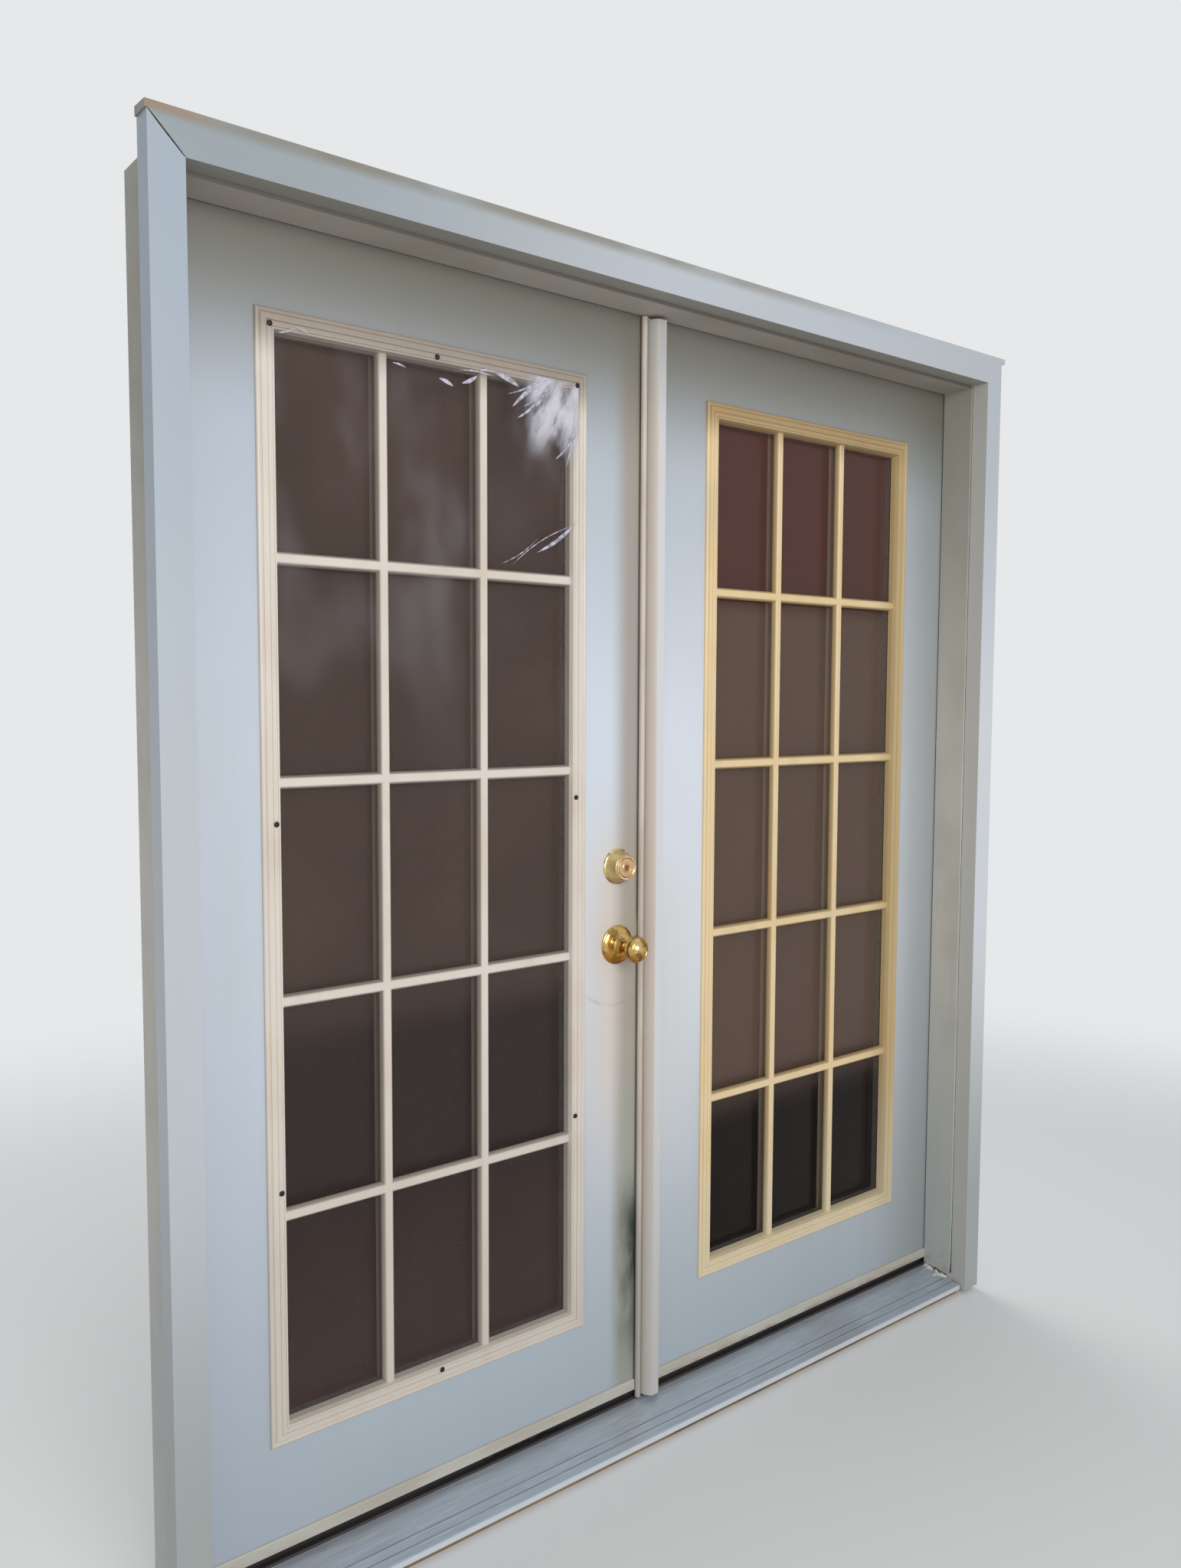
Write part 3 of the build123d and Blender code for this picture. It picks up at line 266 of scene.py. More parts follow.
scuff = dict(
    tint="#8E8B85",
    amount=0.4,
    size=30,
    levels=(0.3, 0.65),
    arcs=[(arc_centre, 0.108, 0.004)],
    fades=[("Z", knob_z - 0.07, knob_z - 0.1)],
)
low_scuff = dict(
    tint="#8E8B85",
    amount=0.28,
    size=30,
    levels=(0.35, 0.65),
    arcs=[(arc_centre, 0.137, 0.003)],
    fades=[("Z", knob_z - 0.12, knob_z - 0.134)],
)
left_skin_enamel = finish(
    "steel_skin_enamel_left",
    "#CDD4DF",
    [
        skin_dust, skin_runs, painted_upper_shade, skin_foot, left_shade, left_warm, painted_astragal_shade, painted_head_shade,
        scuff, low_scuff, low_green, mildew, mildew_core, painted_seal_shade,
    ],
    [(180, 0.25, EVEN), (3, 0.008, EVEN)],
    (90, 0.34, 0.5),
)
right_shade = dict(tint="#8F9492", amount=0.8, fades=[("X", 0.60, reveal_right + 0.01)])
right_warm = dict(
    tint="#CDCBC4",
    amount=0.6,
    fades=[("X", 0.16, 0.04), ("Z", 1.1, 0.92), ("Z", 0.35, 0.7)],
)
right_skin_enamel = finish(
    "steel_skin_enamel_right",
    "#D3D8E1",
    [skin_dust, skin_runs, painted_upper_shade, skin_foot, right_warm, right_shade, painted_head_shade],
    [(180, 0.25, EVEN), (3, 0.008, EVEN)],
    (90, 0.34, 0.5),
)
inner_skin_enamel = finish(
    "steel_skin_enamel_inside",
    "#D5D6D2",
    [skin_dust],
    [(180, 0.2, EVEN), (3, 0.01, EVEN)],
    (90, 0.36, 0.5),
)

# Moulded styrene glazing frames, gone beige and yellow with age, dirty, greyer towards the foot, the yellow
# one darker towards the jamb, with painted shade on the bars' flanks and along the top.
moulding_dirt = dict(tint="#A3937F", amount=0.25, size=60, levels=(0.5, 0.75), stretch=(1, 1, 0.3))
frame_top = left_border[1].z
crest_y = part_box("active_panes")[0].y - BAR_HEIGHT
# Painted shade on the flanks of the outer bars.
painted_flank_shade = [("Y", crest_y + 0.0004, crest_y + 0.0028), ("Y", 0.1, 0.092)]
moulding_shade = [("Z", frame_top - 0.08, frame_top - 0.01)]
beige_moulding = finish(
    "aged_styrene_beige",
    "#D6CDC2",
    [
        moulding_dirt,
        dict(tint="#CBB9A8", amount=0.4, size=160, levels=(0.42, 0.66)),
        dict(tint="#7E7065", amount=0.85, fades=painted_flank_shade),
        dict(tint="#83766A", amount=0.8, fades=moulding_shade),
        dict(tint="#B9B0A5", amount=0.5, fades=[("Z", 0.9, 0.24)]),
    ],
    [(5, 0.02, EVEN)],
    (30, 0.3, 0.45),
)
yellow_moulding = finish(
    "aged_styrene_yellow",
    "#E1CAA0",
    [
        moulding_dirt,
        dict(tint="#DDBD84", amount=0.45, size=180, levels=(0.4, 0.66)),
        dict(tint="#A1855A", amount=0.8, fades=painted_flank_shade),
        dict(tint="#94784E", amount=0.8, fades=moulding_shade),
        dict(tint="#B39A6C", amount=0.8, fades=[("X", 0.62, 0.72)]),
        dict(tint="#CFC3A8", amount=0.6, fades=[("Z", 0.6, 0.22)]),
    ],
    [(5, 0.02, EVEN)],
    (30, 0.3, 0.45),
)

# Painted pine jambs: brush marks along the grain, a warm grey bloom, greyer towards the foot with dust at
# the foot itself, and painted shade darkening them upwards. The head jamb is a darker copy, its darkness
# painted shade, with a dark joint line along its front edge.
jamb_paint = finish(
    "brushed_paint_on_pine",
    "#C4BFB6",
    [
        dict(tint="#A8A497", amount=0.4, size=160, levels=(0.42, 0.7)),
        dict(tint="#9A9588", amount=0.3, size=25, levels=(0.55, 0.78), stretch=UPRIGHT),
        # Painted shade: darker upwards.
        dict(tint="#8A877B", amount=0.7, fades=[("Z", 1.1, 1.9)]),
        dict(tint="#A8AEAC", amount=0.75, fades=[("Z", 0.9, 0.15)]),
        dict(tint="#7F8078", amount=0.5, size=25, levels=(0.45, 0.7), fades=[("Z", 0.12, 0.03)]),
    ],
    [(2.5, 0.05, UPRIGHT), (60, 0.3, EVEN)],
    (40, 0.45, 0.65),
)
# A darker copy of the jamb paint: its darkness is painted shade.
shaded_head_paint = finish(
    "brushed_paint_on_head_shaded",
    "#B0A99F",
    [
        dict(tint="#8C8274", amount=0.5, size=160, levels=(0.42, 0.7), stretch=(0.4, 1, 1)),
        dict(tint="#4F4B44", amount=0.85, fades=[("Y", 0.0012, 0.0004)]),
    ],
    [(2.5, 0.05, ACROSS), (60, 0.3, EVEN)],
    (40, 0.45, 0.65),
)

# Painted aluminium coil bent over the trim: slight oil-canning, rain dirt, darker towards the foot, and
# along the top of the head a soft brown stain, rustier at its left end. Painted shade darkens the left leg,
# both legs higher up and the right leg's side; the head is a darker copy, with more painted shade towards
# its left end and on its underside.
# Painted shade on the left leg, on both legs higher up, and on the right leg's side.
leg_top_shade = dict(tint="#939FAC", amount=0.8, fades=[("Z", 1.0, 1.9), LEFT_SIDE])
leg_left_shade = dict(tint="#A3AAB1", amount=0.65, fades=[LEFT_SIDE])
leg_right_top_shade = dict(tint="#A9B0B6", amount=0.7, fades=[("Z", 1.2, 1.9), RIGHT_SIDE])
leg_foot = dict(tint="#969A98", amount=0.85, fades=[("Z", 0.85, 0.2)])
leg_streaks = dict(tint="#B4AFA3", amount=0.3, size=120, levels=(0.45, 0.75), stretch=(1, 1, 0.12))
leg_side_shade = dict(
    tint="#BAB8B1",
    amount=0.8,
    fades=[("Y", trim_front + 0.0004, trim_front + 0.0015), RIGHT_SIDE],
)
leg_coil = finish(
    "painted_coil_legs",
    "#D0D5D9",
    [leg_streaks, leg_left_shade, leg_top_shade, leg_right_top_shade, leg_foot, leg_side_shade],
    [(120, 0.5, (1, 1, 0.3)), (2, 0.01, EVEN)],
    (60, 0.32, 0.48),
)
stain_top = head_trim[1].z
soffit_z = head_trim[0].z
head_stain = dict(
    tint="#74694F",
    amount=0.7,
    size=80,
    levels=(0.2, 0.6),
    stretch=(0.3, 1, 1),
    fades=[("Z", stain_top - 0.012, stain_top + 0.006), ("X", 0.75, -0.1)],
)
rust_end = dict(
    tint="#93704C",
    amount=0.55,
    size=30,
    levels=(0.3, 0.6),
    stretch=(0.4, 1, 1),
    fades=[("Z", stain_top - 0.006, stain_top + 0.004), ("X", -0.78, -0.86)],
)
# A darker copy of the legs' coil: its darkness is painted shade.
shaded_head_coil = finish(
    "painted_coil_head_shaded",
    "#B5BBC2",
    [
        dict(tint="#B3B7B6", amount=0.35, size=200, levels=(0.4, 0.7), stretch=(0.4, 1, 1)),
        # Painted shade: darker towards the left end and on the underside.
        dict(tint="#818B8F", amount=0.8, fades=[("X", 0.1, -0.85)]),
        dict(tint="#989288", amount=0.85, fades=[("Z", soffit_z + 0.0008, soffit_z + 0.0002)]),
        head_stain,
        rust_end,
    ],
    [(120, 0.5, (0.3, 1, 1)), (2, 0.01, EVEN)],
    (60, 0.32, 0.48),
)

# Mill-finish extruded aluminium: fine dark and pale die lines along the length, painted shade in its two
# grooves, and painted highlights in front of each and along its front edge.
plate_front = plate[0].y
# Painted shade in the two grooves, and painted highlights in front of each.
painted_groove_shade = [dict(tint="#2E3033", amount=0.95, fades=band("Y", at, 0.0010, 0.0002)) for at in SILL_GROOVES]
groove_fronts = [[("Y", at - 0.0028, at - 0.0022), ("Y", at - 0.0010, at - 0.0014)] for at in SILL_GROOVES]
painted_groove_highlights = [dict(tint="#E4EAF0", amount=0.6, fades=front) for front in groove_fronts]
sill_aluminium = finish(
    "extruded_aluminium",
    "#C0CAD6",
    [
        dict(tint="#98A1AC", amount=0.4, size=1.6, levels=(0.45, 0.7), stretch=(0.02, 1, 1), detail=2),
        dict(tint="#E3E9F0", amount=0.5, size=1.8, levels=(0.54, 0.68), stretch=(0.03, 1, 1), detail=2),
        dict(tint="#8C8A87", amount=0.35, size=120, levels=(0.5, 0.72), stretch=(0.4, 1, 1)),
        *painted_groove_shade,
        *painted_groove_highlights,
        # Painted highlight along the front edge.
        dict(tint="#E6EBF0", amount=0.8, fades=[("Y", plate_front + 0.003, plate_front + 0.0018)]),
    ],
    [(3, 0.06, (0.005, 1, 1)), (40, 0.08, EVEN)],
    (25, 0.3, 0.42),
    Metallic=0.55,
)

# Polished lacquered brass, slightly cloudy where it is worn. On the knob set it is bright pale gold, with a
# painted reflection turning it amber below, and painted dark reflections and glints. The deadbolt's is
# duller, darker below and mottled at its foot with painted reflections and highlights, with a pinkish face
# ringed around its keyway and a painted highlight ring round the face.
brass_cloud = dict(tint="#D9A85A", amount=0.45, size=12, levels=(0.42, 0.68))
# Painted dark reflections and glints on the brass.
painted_dark_reflections = dict(tint="#7A4E16", amount=0.6, size=17, levels=(0.48, 0.6), detail=1)
painted_glints = dict(tint="#FFF3C4", amount=0.2, size=14, levels=(0.55, 0.64), detail=1)
knob_brass = finish(
    "polished_brass_knob_set",
    "#CDAD6A",
    [
        brass_cloud,
        # Painted reflection: amber over the lower half.
        dict(tint="#B8741F", amount=0.75, fades=[("Z", knob_z + 0.006, knob_z - 0.018)]),
        painted_dark_reflections,
        painted_glints,
    ],
    [(9, 0.02, EVEN)],
    (12, 0.12, 0.24),
    Metallic=1.0,
)
face_centre = (lock_x, bolt_front, bolt_z)
collar_foot = [("Y", face_y - 0.0045, face_y - 0.0025)]
bolt_brass = finish(
    "satin_brass_deadbolt",
    "#E4D09A",
    [
        brass_cloud,
        # Painted highlights and dark reflections at the collar's foot.
        dict(tint="#FFF2C8", amount=0.8, fades=collar_foot, size=16, levels=(0.5, 0.55)),
        dict(tint="#5F4518", amount=0.75, fades=collar_foot, size=12, levels=(0.5, 0.42)),
        # Painted reflection: darker below.
        dict(tint="#9C7434", amount=0.6, fades=[("Z", bolt_z - 0.004, bolt_z - 0.026)]),
        dict(tint="#D9A883", amount=0.85, fades=[("Y", bolt_front + 0.0012, bolt_front + 0.0004)]),
        # Painted highlight ring around the face.
        dict(tint="#FFF3D2", amount=0.8, size=18, levels=(0.45, 0.55), arcs=[(face_centre, 0.0195, 0.0016)]),
        dict(tint="#8A6230", amount=0.45, arcs=[(face_centre, 0.0165, 0.0012)]),
        dict(tint="#97703F", amount=0.85, arcs=[(face_centre, 0.0, 0.0105)]),
    ],
    [(7, 0.02, EVEN)],
    (12, 0.18, 0.3),
    Metallic=1.0,
)
# The brass of the lock's other parts: even and bright, with soft amber clouds.
lock_brass = finish(
    "polished_brass",
    "#EBCB82",
    [dict(tint="#C08F3F", amount=0.5, size=14, levels=(0.45, 0.7))],
    [(9, 0.02, EVEN)],
    (12, 0.12, 0.24),
    Metallic=1.0,
)
# Stamped hinge brass, dulled by the air.
hinge_brass = finish(
    "dull_brass_plate",
    "#C9A564",
    [dict(tint="#957A47", amount=0.5, size=10, levels=(0.45, 0.7))],
    [(3, 0.02, EVEN)],
    (10, 0.25, 0.42),
    Metallic=1.0,
)
# Zinc-plated fixings: plain grey with a fine dark spangle.
zinc = finish(
    "zinc_plated_steel",
    "#A7A8A3",
    [dict(tint="#82827C", amount=0.5, size=5, levels=(0.45, 0.65))],
    [(1.5, 0.02, EVEN)],
    (6, 0.3, 0.5),
    Metallic=1.0,
)
# Black oxide screws: nearly black, browned where the coat has worn.
black_screw = finish(
    "black_oxide_screw",
    "#17171A",
    [dict(tint="#3A332C", amount=0.5, size=2, levels=(0.45, 0.65))],
    [(1, 0.05, EVEN)],
    (3, 0.35, 0.6),
    Metallic=0.4,
)

# Painted wooden astragal: a bright nose, painted shade in warm beige on the flank towards the seal and in
# grey at the head, and greyer at the foot.
astragal_paint = finish(
    "brushed_paint_on_astragal",
    "#CDCDD0",
    [
        dict(tint="#C4BCB2", amount=0.3, size=120, levels=(0.4, 0.7), stretch=(1, 1, 0.2)),
        # Painted shade on the flank towards the seal.
        dict(tint="#BFAFA0", amount=0.8, fades=[("X", 0.003, 0.0005)]),
        dict(tint="#B0AFA9", amount=0.7, fades=[("Z", 0.8, 0.1)]),
        # Painted shade at the head.
        dict(tint="#A7A7A3", amount=0.8, fades=[("Z", 1.75, 1.97)]),
    ],
    [(2.5, 0.04, UPRIGHT)],
    (40, 0.35, 0.55),
)
# Soft vinyl bulb: warm cream, smeared with dirt along its length and greyer low down.
seal_vinyl = finish(
    "soft_cream_vinyl",
    "#C6BBAF",
    [
        dict(tint="#9A8F82", amount=0.4, size=40, levels=(0.4, 0.65), stretch=(1, 1, 0.2)),
        dict(tint="#8C8C84", amount=0.5, fades=[("Z", 0.6, 0.3)]),
    ],
    [(8, 0.15, (1, 1, 0.2))],
    (20, 0.4, 0.6),
)

# Extruded vinyl sweep: a grey-cream band above, stained with rust on the right leaf, and black fins
# below the leaf's edge.
sweep_rust = dict(
    tint="#8A6A55",
    amount=0.5,
    size=40,
    levels=(0.3, 0.6),
    fades=[("Z", 0.062, 0.055), ("X", 0.0, 0.05)],
)
sweep_vinyl = finish(
    "cream_and_black_vinyl",
    "#B9B7AD",
    [
        dict(tint="#A08C7A", amount=0.4, size=60, levels=(0.4, 0.65), stretch=(0.3, 1, 1)),
        sweep_rust,
        dict(tint="#141317", amount=1.0, fades=[("Z", SWEEP_BAND_LOW + 0.0005, SWEEP_BAND_LOW - 0.0005)]),
        dict(tint="#141317", amount=1.0, fades=[("Y", face_y + 0.0005, face_y + 0.0015)]),
        dict(tint="#2A2829", amount=0.9, fades=[("Z", FIN_TIP + 0.0004, FIN_TIP - 0.0004)]),
    ],
    [(6, 0.05, ACROSS)],
    (20, 0.4, 0.6),
)
# Hard dark vinyl, scuffed brown along its length.
threshold_vinyl = finish(
    "dark_vinyl_threshold",
    "#2B2523",
    [dict(tint="#4A4039", amount=0.6, size=30, levels=(0.45, 0.65), stretch=ACROSS)],
    [(3, 0.08, ACROSS)],
    (20, 0.5, 0.7),
)
# Dark cellular weatherstrip: matt and finely pitted.
weather_foam = finish(
    "weatherstrip_foam",
    "#3A3936",
    [dict(tint="#55534C", amount=0.6, size=6, levels=(0.45, 0.6))],
    [(2, 0.2, EVEN)],
    (10, 0.7, 0.85),
)
# Expanded foam: pale yellow beads, matt.
core_foam = finish(
    "expanded_foam",
    "#E7E2D2",
    [dict(tint="#D3CBB4", amount=0.6, size=5, levels=(0.45, 0.6))],
    [(3, 0.3, EVEN)],
    (10, 0.8, 0.95),
)
# Unpainted pine: honey brown, with darker grain upwards in the leaves and across in the sill's base,
# which has weathered grey-brown.
bare_pine = finish(
    "sawn_pine",
    "#C9A87A",
    [
        dict(tint="#A37D4E", amount=0.7, size=9, levels=(0.42, 0.62), stretch=(1, 1, 0.05)),
        dict(tint="#8A6740", amount=0.4, size=60, levels=(0.5, 0.7)),
    ],
    [(2, 0.12, (1, 1, 0.08))],
    (20, 0.55, 0.75),
)
sill_pine = finish(
    "weathered_sill_pine",
    "#8B7355",
    [
        dict(tint="#5E4B37", amount=0.7, size=9, levels=(0.42, 0.62), stretch=(0.05, 1, 1)),
        dict(tint="#4C4034", amount=0.5, size=60, levels=(0.5, 0.7)),
    ],
    [(2, 0.15, (0.08, 1, 1))],
    (20, 0.6, 0.8),
)
# Aluminium spacer, finely perforated, which dulls it to a soft silver.
spacer_aluminium = finish(
    "perforated_spacer_aluminium",
    "#B4B2AC",
    [dict(tint="#8E8B84", amount=0.5, size=6, levels=(0.45, 0.65))],
    [(1.2, 0.05, EVEN)],
    (8, 0.35, 0.5),
    Metallic=0.8,
)

# Float glass: the outer sheet is clear and lets the spacers show; the inner one is all but opaque, painted
# with a warm brown darkness that stands for the shade behind the doors and with the backs of the inner
# muntins. Painted reflections darken it most in the left leaf's fourth row and the right one's fifth, and
# low in the left one, redden the right one's first row and lay a pale haze over the left one's upper part.
sheet_gap = [("Y", 0.0885, 0.0985)]
brown_clouds = dict(tint="#5B473D", amount=0.5, size=260, levels=(0.4, 0.7))
right_brown = dict(tint="#6D5A4E", amount=0.7, fades=[RIGHT_LEAF])
# Painted reflections: red in the right leaf's first row, dark low down, pale over the left leaf's top.
painted_red_reflection = dict(tint="#56302C", amount=0.75, fades=[("Z", 1.48, 1.52), RIGHT_LEAF])
painted_dark_reflection_left = dict(tint="#1A100C", amount=0.7, fades=[("Z", 0.87, 0.78), ("Z", 0.3, 0.6), LEFT_LEAF])
painted_low_reflection_left = dict(tint="#35231D", amount=0.5, fades=[("Z", 0.7, 0.45), LEFT_LEAF])
painted_dark_reflection_right = dict(tint="#0E0907", amount=0.95, fades=[("Z", 0.60, 0.48), RIGHT_LEAF])
painted_pale_reflection = dict(
    tint="#7F7C86",
    amount=0.12,
    size=160,
    levels=(0.45, 0.75),
    fades=[("Z", 1.2, 1.7), ("X", 0.0, -0.2)],
)
pane_low, pane_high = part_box("active_panes")
lite_x = (pane_low.x + pane_high.x) / 2
# The inner muntins' backs, painted on the inner sheet.
painted_inner_bars = [
    dict(tint=tint, amount=0.75, fades=band("X", centre + side * HALF_LITE, INNER_BAR_HALF, 0.001))
    for tint, centre in (("#8F8073", lite_x), ("#97856C", -lite_x))
    for side in (-1, 1)
]
window_glass = finish(
    "float_glass_painted_dark",
    "#4B3A31",
    [brown_clouds, right_brown, painted_red_reflection, painted_dark_reflection_left, painted_low_reflection_left, painted_dark_reflection_right, painted_pale_reflection, *painted_inner_bars],
    [],
    (60, 0.02, 0.05),
    opacity=(0.14, [dict(amount=0.84, fades=sheet_gap)]),
    **{"Specular IOR Level": 0.22},
)

# Clear storm sheet: nearly invisible but for a painted lilac reflection over its upper part, thick in its
# wrinkled upper right corner, and painted white highlights along its creases.
# Painted reflection, thick in the sheet's wrinkled upper right corner.
painted_corner_reflection = dict(
    amount=0.7,
    size=36,
    levels=(0.36, 0.6),
    stretch=(1, 1, 0.45),
    turn=-0.5,
    fades=[("Z", film_top - 0.145, film_top - 0.06), ("X", film_right - 0.115, film_right - 0.08)],
)
painted_lilac_reflection = dict(amount=0.06, size=150, levels=(0.45, 0.72), stretch=(1, 1, 0.5), fades=[("Z", 1.1, 1.7)])
storm_film = finish(
    "clear_storm_sheet",
    "#DDDBE4",
    [dict(tint="#C9C8D2", amount=0.5, size=120, levels=(0.45, 0.7))],
    [],
    (80, 0.08, 0.16),
    opacity=(0.008, [painted_lilac_reflection, painted_corner_reflection]),
)
# Painted white highlights along the creases.
crease_highlight_film = finish(
    "storm_sheet_crease_highlights",
    "#D9D8E6",
    [dict(tint="#BFC0CE", amount=0.6, size=14, levels=(0.4, 0.7))],
    [(8, 0.2, EVEN)],
    (20, 0.15, 0.3),
    opacity=(0.25, [dict(amount=0.5, size=9, levels=(0.4, 0.62))]),
)

# Old painted caulk, cracked to dark gaps.
caulk_paint = finish(
    "cracked_caulk",
    "#D3D3CC",
    [dict(tint="#4B4941", amount=0.85, size=8, levels=(0.54, 0.62))],
    [(4, 0.4, EVEN)],
    (10, 0.5, 0.7),
)

# The dark inside of a joint, with dust in places.
gap_shadow = finish(
    "open_joint",
    "#1B1916",
    [dict(tint="#4A453C", amount=0.6, size=25, levels=(0.45, 0.6))],
    [(2, 0.1, EVEN)],
    (5, 0.8, 0.95),
)

# Torn fin: black vinyl, greyed by dirt.
black_vinyl = finish(
    "torn_black_vinyl",
    "#16151A",
    [dict(tint="#2D2A2B", amount=0.6, size=20, levels=(0.45, 0.6))],
    [(6, 0.2, ACROSS)],
    (10, 0.35, 0.5),
)

NODE_FINISHES = {
    "active_outer_skin": left_skin_enamel,
    "passive_outer_skin": right_skin_enamel,
    "active_inner_skin": inner_skin_enamel,
    "passive_inner_skin": inner_skin_enamel,
    "active_outer_glazing_frame": beige_moulding,
    "active_inner_glazing_frame": beige_moulding,
    "passive_outer_glazing_frame": yellow_moulding,
    "passive_inner_glazing_frame": yellow_moulding,
    "left_jamb": jamb_paint,
    "right_jamb": jamb_paint,
    "head_jamb": shaded_head_paint,
    "left_casing": leg_coil,
    "right_casing": leg_coil,
    "head_casing": shaded_head_coil,
    "drip_cap": shaded_head_coil,
    "sill_plate": sill_aluminium,
    "sill_base": sill_pine,
    "threshold_cap": threshold_vinyl,
    "weatherstrips": weather_foam,
    "astragal": astragal_paint,
    "astragal_seal": seal_vinyl,
    "active_sweep": sweep_vinyl,
    "passive_sweep": sweep_vinyl,
    "active_core": core_foam,
    "passive_core": core_foam,
    "active_panes": window_glass,
    "passive_panes": window_glass,
    "active_spacer": spacer_aluminium,
    "passive_spacer": spacer_aluminium,
    "storm_sheet_screws": black_screw,
    "frame_hinge_leaves": hinge_brass,
    "active_hinge_leaves": hinge_brass,
    "passive_hinge_leaves": hinge_brass,
    "hinge_pins": hinge_brass,
}
for node in ("active_stiles", "passive_stiles", "active_rails", "passive_rails", "lock_block"):
    NODE_FINISHES[node] = bare_pine
for node in (
    "deadbolt_collar", "deadbolt_cylinder", "deadbolt_inner_rose", "thumb_turn", "deadbolt_bolt",
    "knob_roses", "outer_knob", "inner_knob", "latch_bolt", "edge_faceplates", "strike_plates",
):
    NODE_FINISHES[node] = lock_brass
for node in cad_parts:
    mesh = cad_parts[node].data
    mesh.materials.clear()
    mesh.materials.append(NODE_FINISHES.get(node, zinc))


# Shapes

def piece_of(name, vertices, faces, material, body):
    """A smooth-shaded piece that rides on a body."""
    mesh = bpy.data.meshes.new(name)
    mesh.from_pydata(vertices.tolist(), [], faces)
    mesh.polygons.foreach_set("use_smooth", np.ones(len(mesh.polygons), bool))
    mesh.materials.append(material)
    piece = bpy.data.objects.new(name, mesh)
    bpy.context.scene.collection.objects.link(piece)
    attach(piece, body)
    return piece


def surface(name, points, material, body):
    """A piece whose vertices are an array of rows and columns of points, joined into quads."""
    rows, columns = points.shape[:2]
    index = np.arange(rows * columns).reshape(rows, columns)
    quads = np.stack([index[:-1, :-1], index[:-1, 1:], index[1:, 1:], index[1:, :-1]], axis=-1)
    return piece_of(name, points.reshape(-1, 3), quads.reshape(-1, 4).tolist(), material, body)


def turned(name, centre, facing, profile, material, body):
    """A solid turned about an axis along y. The profile lists, in millimetres, how far proud of the
    centre and how far from the axis each ring is, from a pole on the axis to another. A ring's points
    are its radius times the cosine and the sine of the angle. Facing is -1 outwards and 1 inwards."""
    proud, radius = np.array(profile).T * MM
    angle = np.linspace(0, 2 * np.pi, 96, endpoint=False)
    x = centre[0] + np.outer(radius[1:-1], np.cos(angle))
    z = centre[2] - facing * np.outer(radius[1:-1], np.sin(angle))
    y = centre[1] + facing * np.repeat(proud[1:-1, None], angle.size, axis=1)
    rings = np.stack([x, y, z], axis=-1).reshape(-1, 3)
    poles = [(centre[0], centre[1] + facing * proud[end], centre[2]) for end in (0, -1)]
    index = np.arange(len(rings)).reshape(-1, angle.size)
    index = np.concatenate([index, index[:, :1]], axis=1)
    quads = np.stack([index[:-1, :-1], index[:-1, 1:], index[1:, 1:], index[1:, :-1]], axis=-1)
    back = np.stack([np.full(angle.size, len(rings)), index[0, 1:], index[0, :-1]], axis=-1)
    front = np.stack([index[-1, :-1], index[-1, 1:], np.full(angle.size, len(rings) + 1)], axis=-1)
    faces = quads.reshape(-1, 4).tolist() + back.tolist() + front.tolist()
    return piece_of(name, np.vstack([rings, poles]), faces, material, body)


def rounded(corners, radius, steps=5):
    """A profile with every inner corner replaced by a curve that starts and ends a radius away, or
    less where the corners are close: the two ends blend as (1 - t) squared, 2t(1 - t) and t squared."""
    corners = np.array(corners, float)
    middle = corners[1:-1]
    before = corners[:-2] - middle
    after = corners[2:] - middle
    before_length = np.linalg.norm(before, axis=1, keepdims=True)
    after_length = np.linalg.norm(after, axis=1, keepdims=True)
    first = middle + before / before_length * np.minimum(radius, 0.45 * before_length)
    last = middle + after / after_length * np.minimum(radius, 0.45 * after_length)
    t = np.linspace(0, 1, steps)[None, :, None]
    curve = (1 - t) ** 2 * first[:, None] + 2 * t * (1 - t) * middle[:, None] + t**2 * last[:, None]
    return np.vstack([corners[:1], curve.reshape(-1, 2), corners[-1:]])


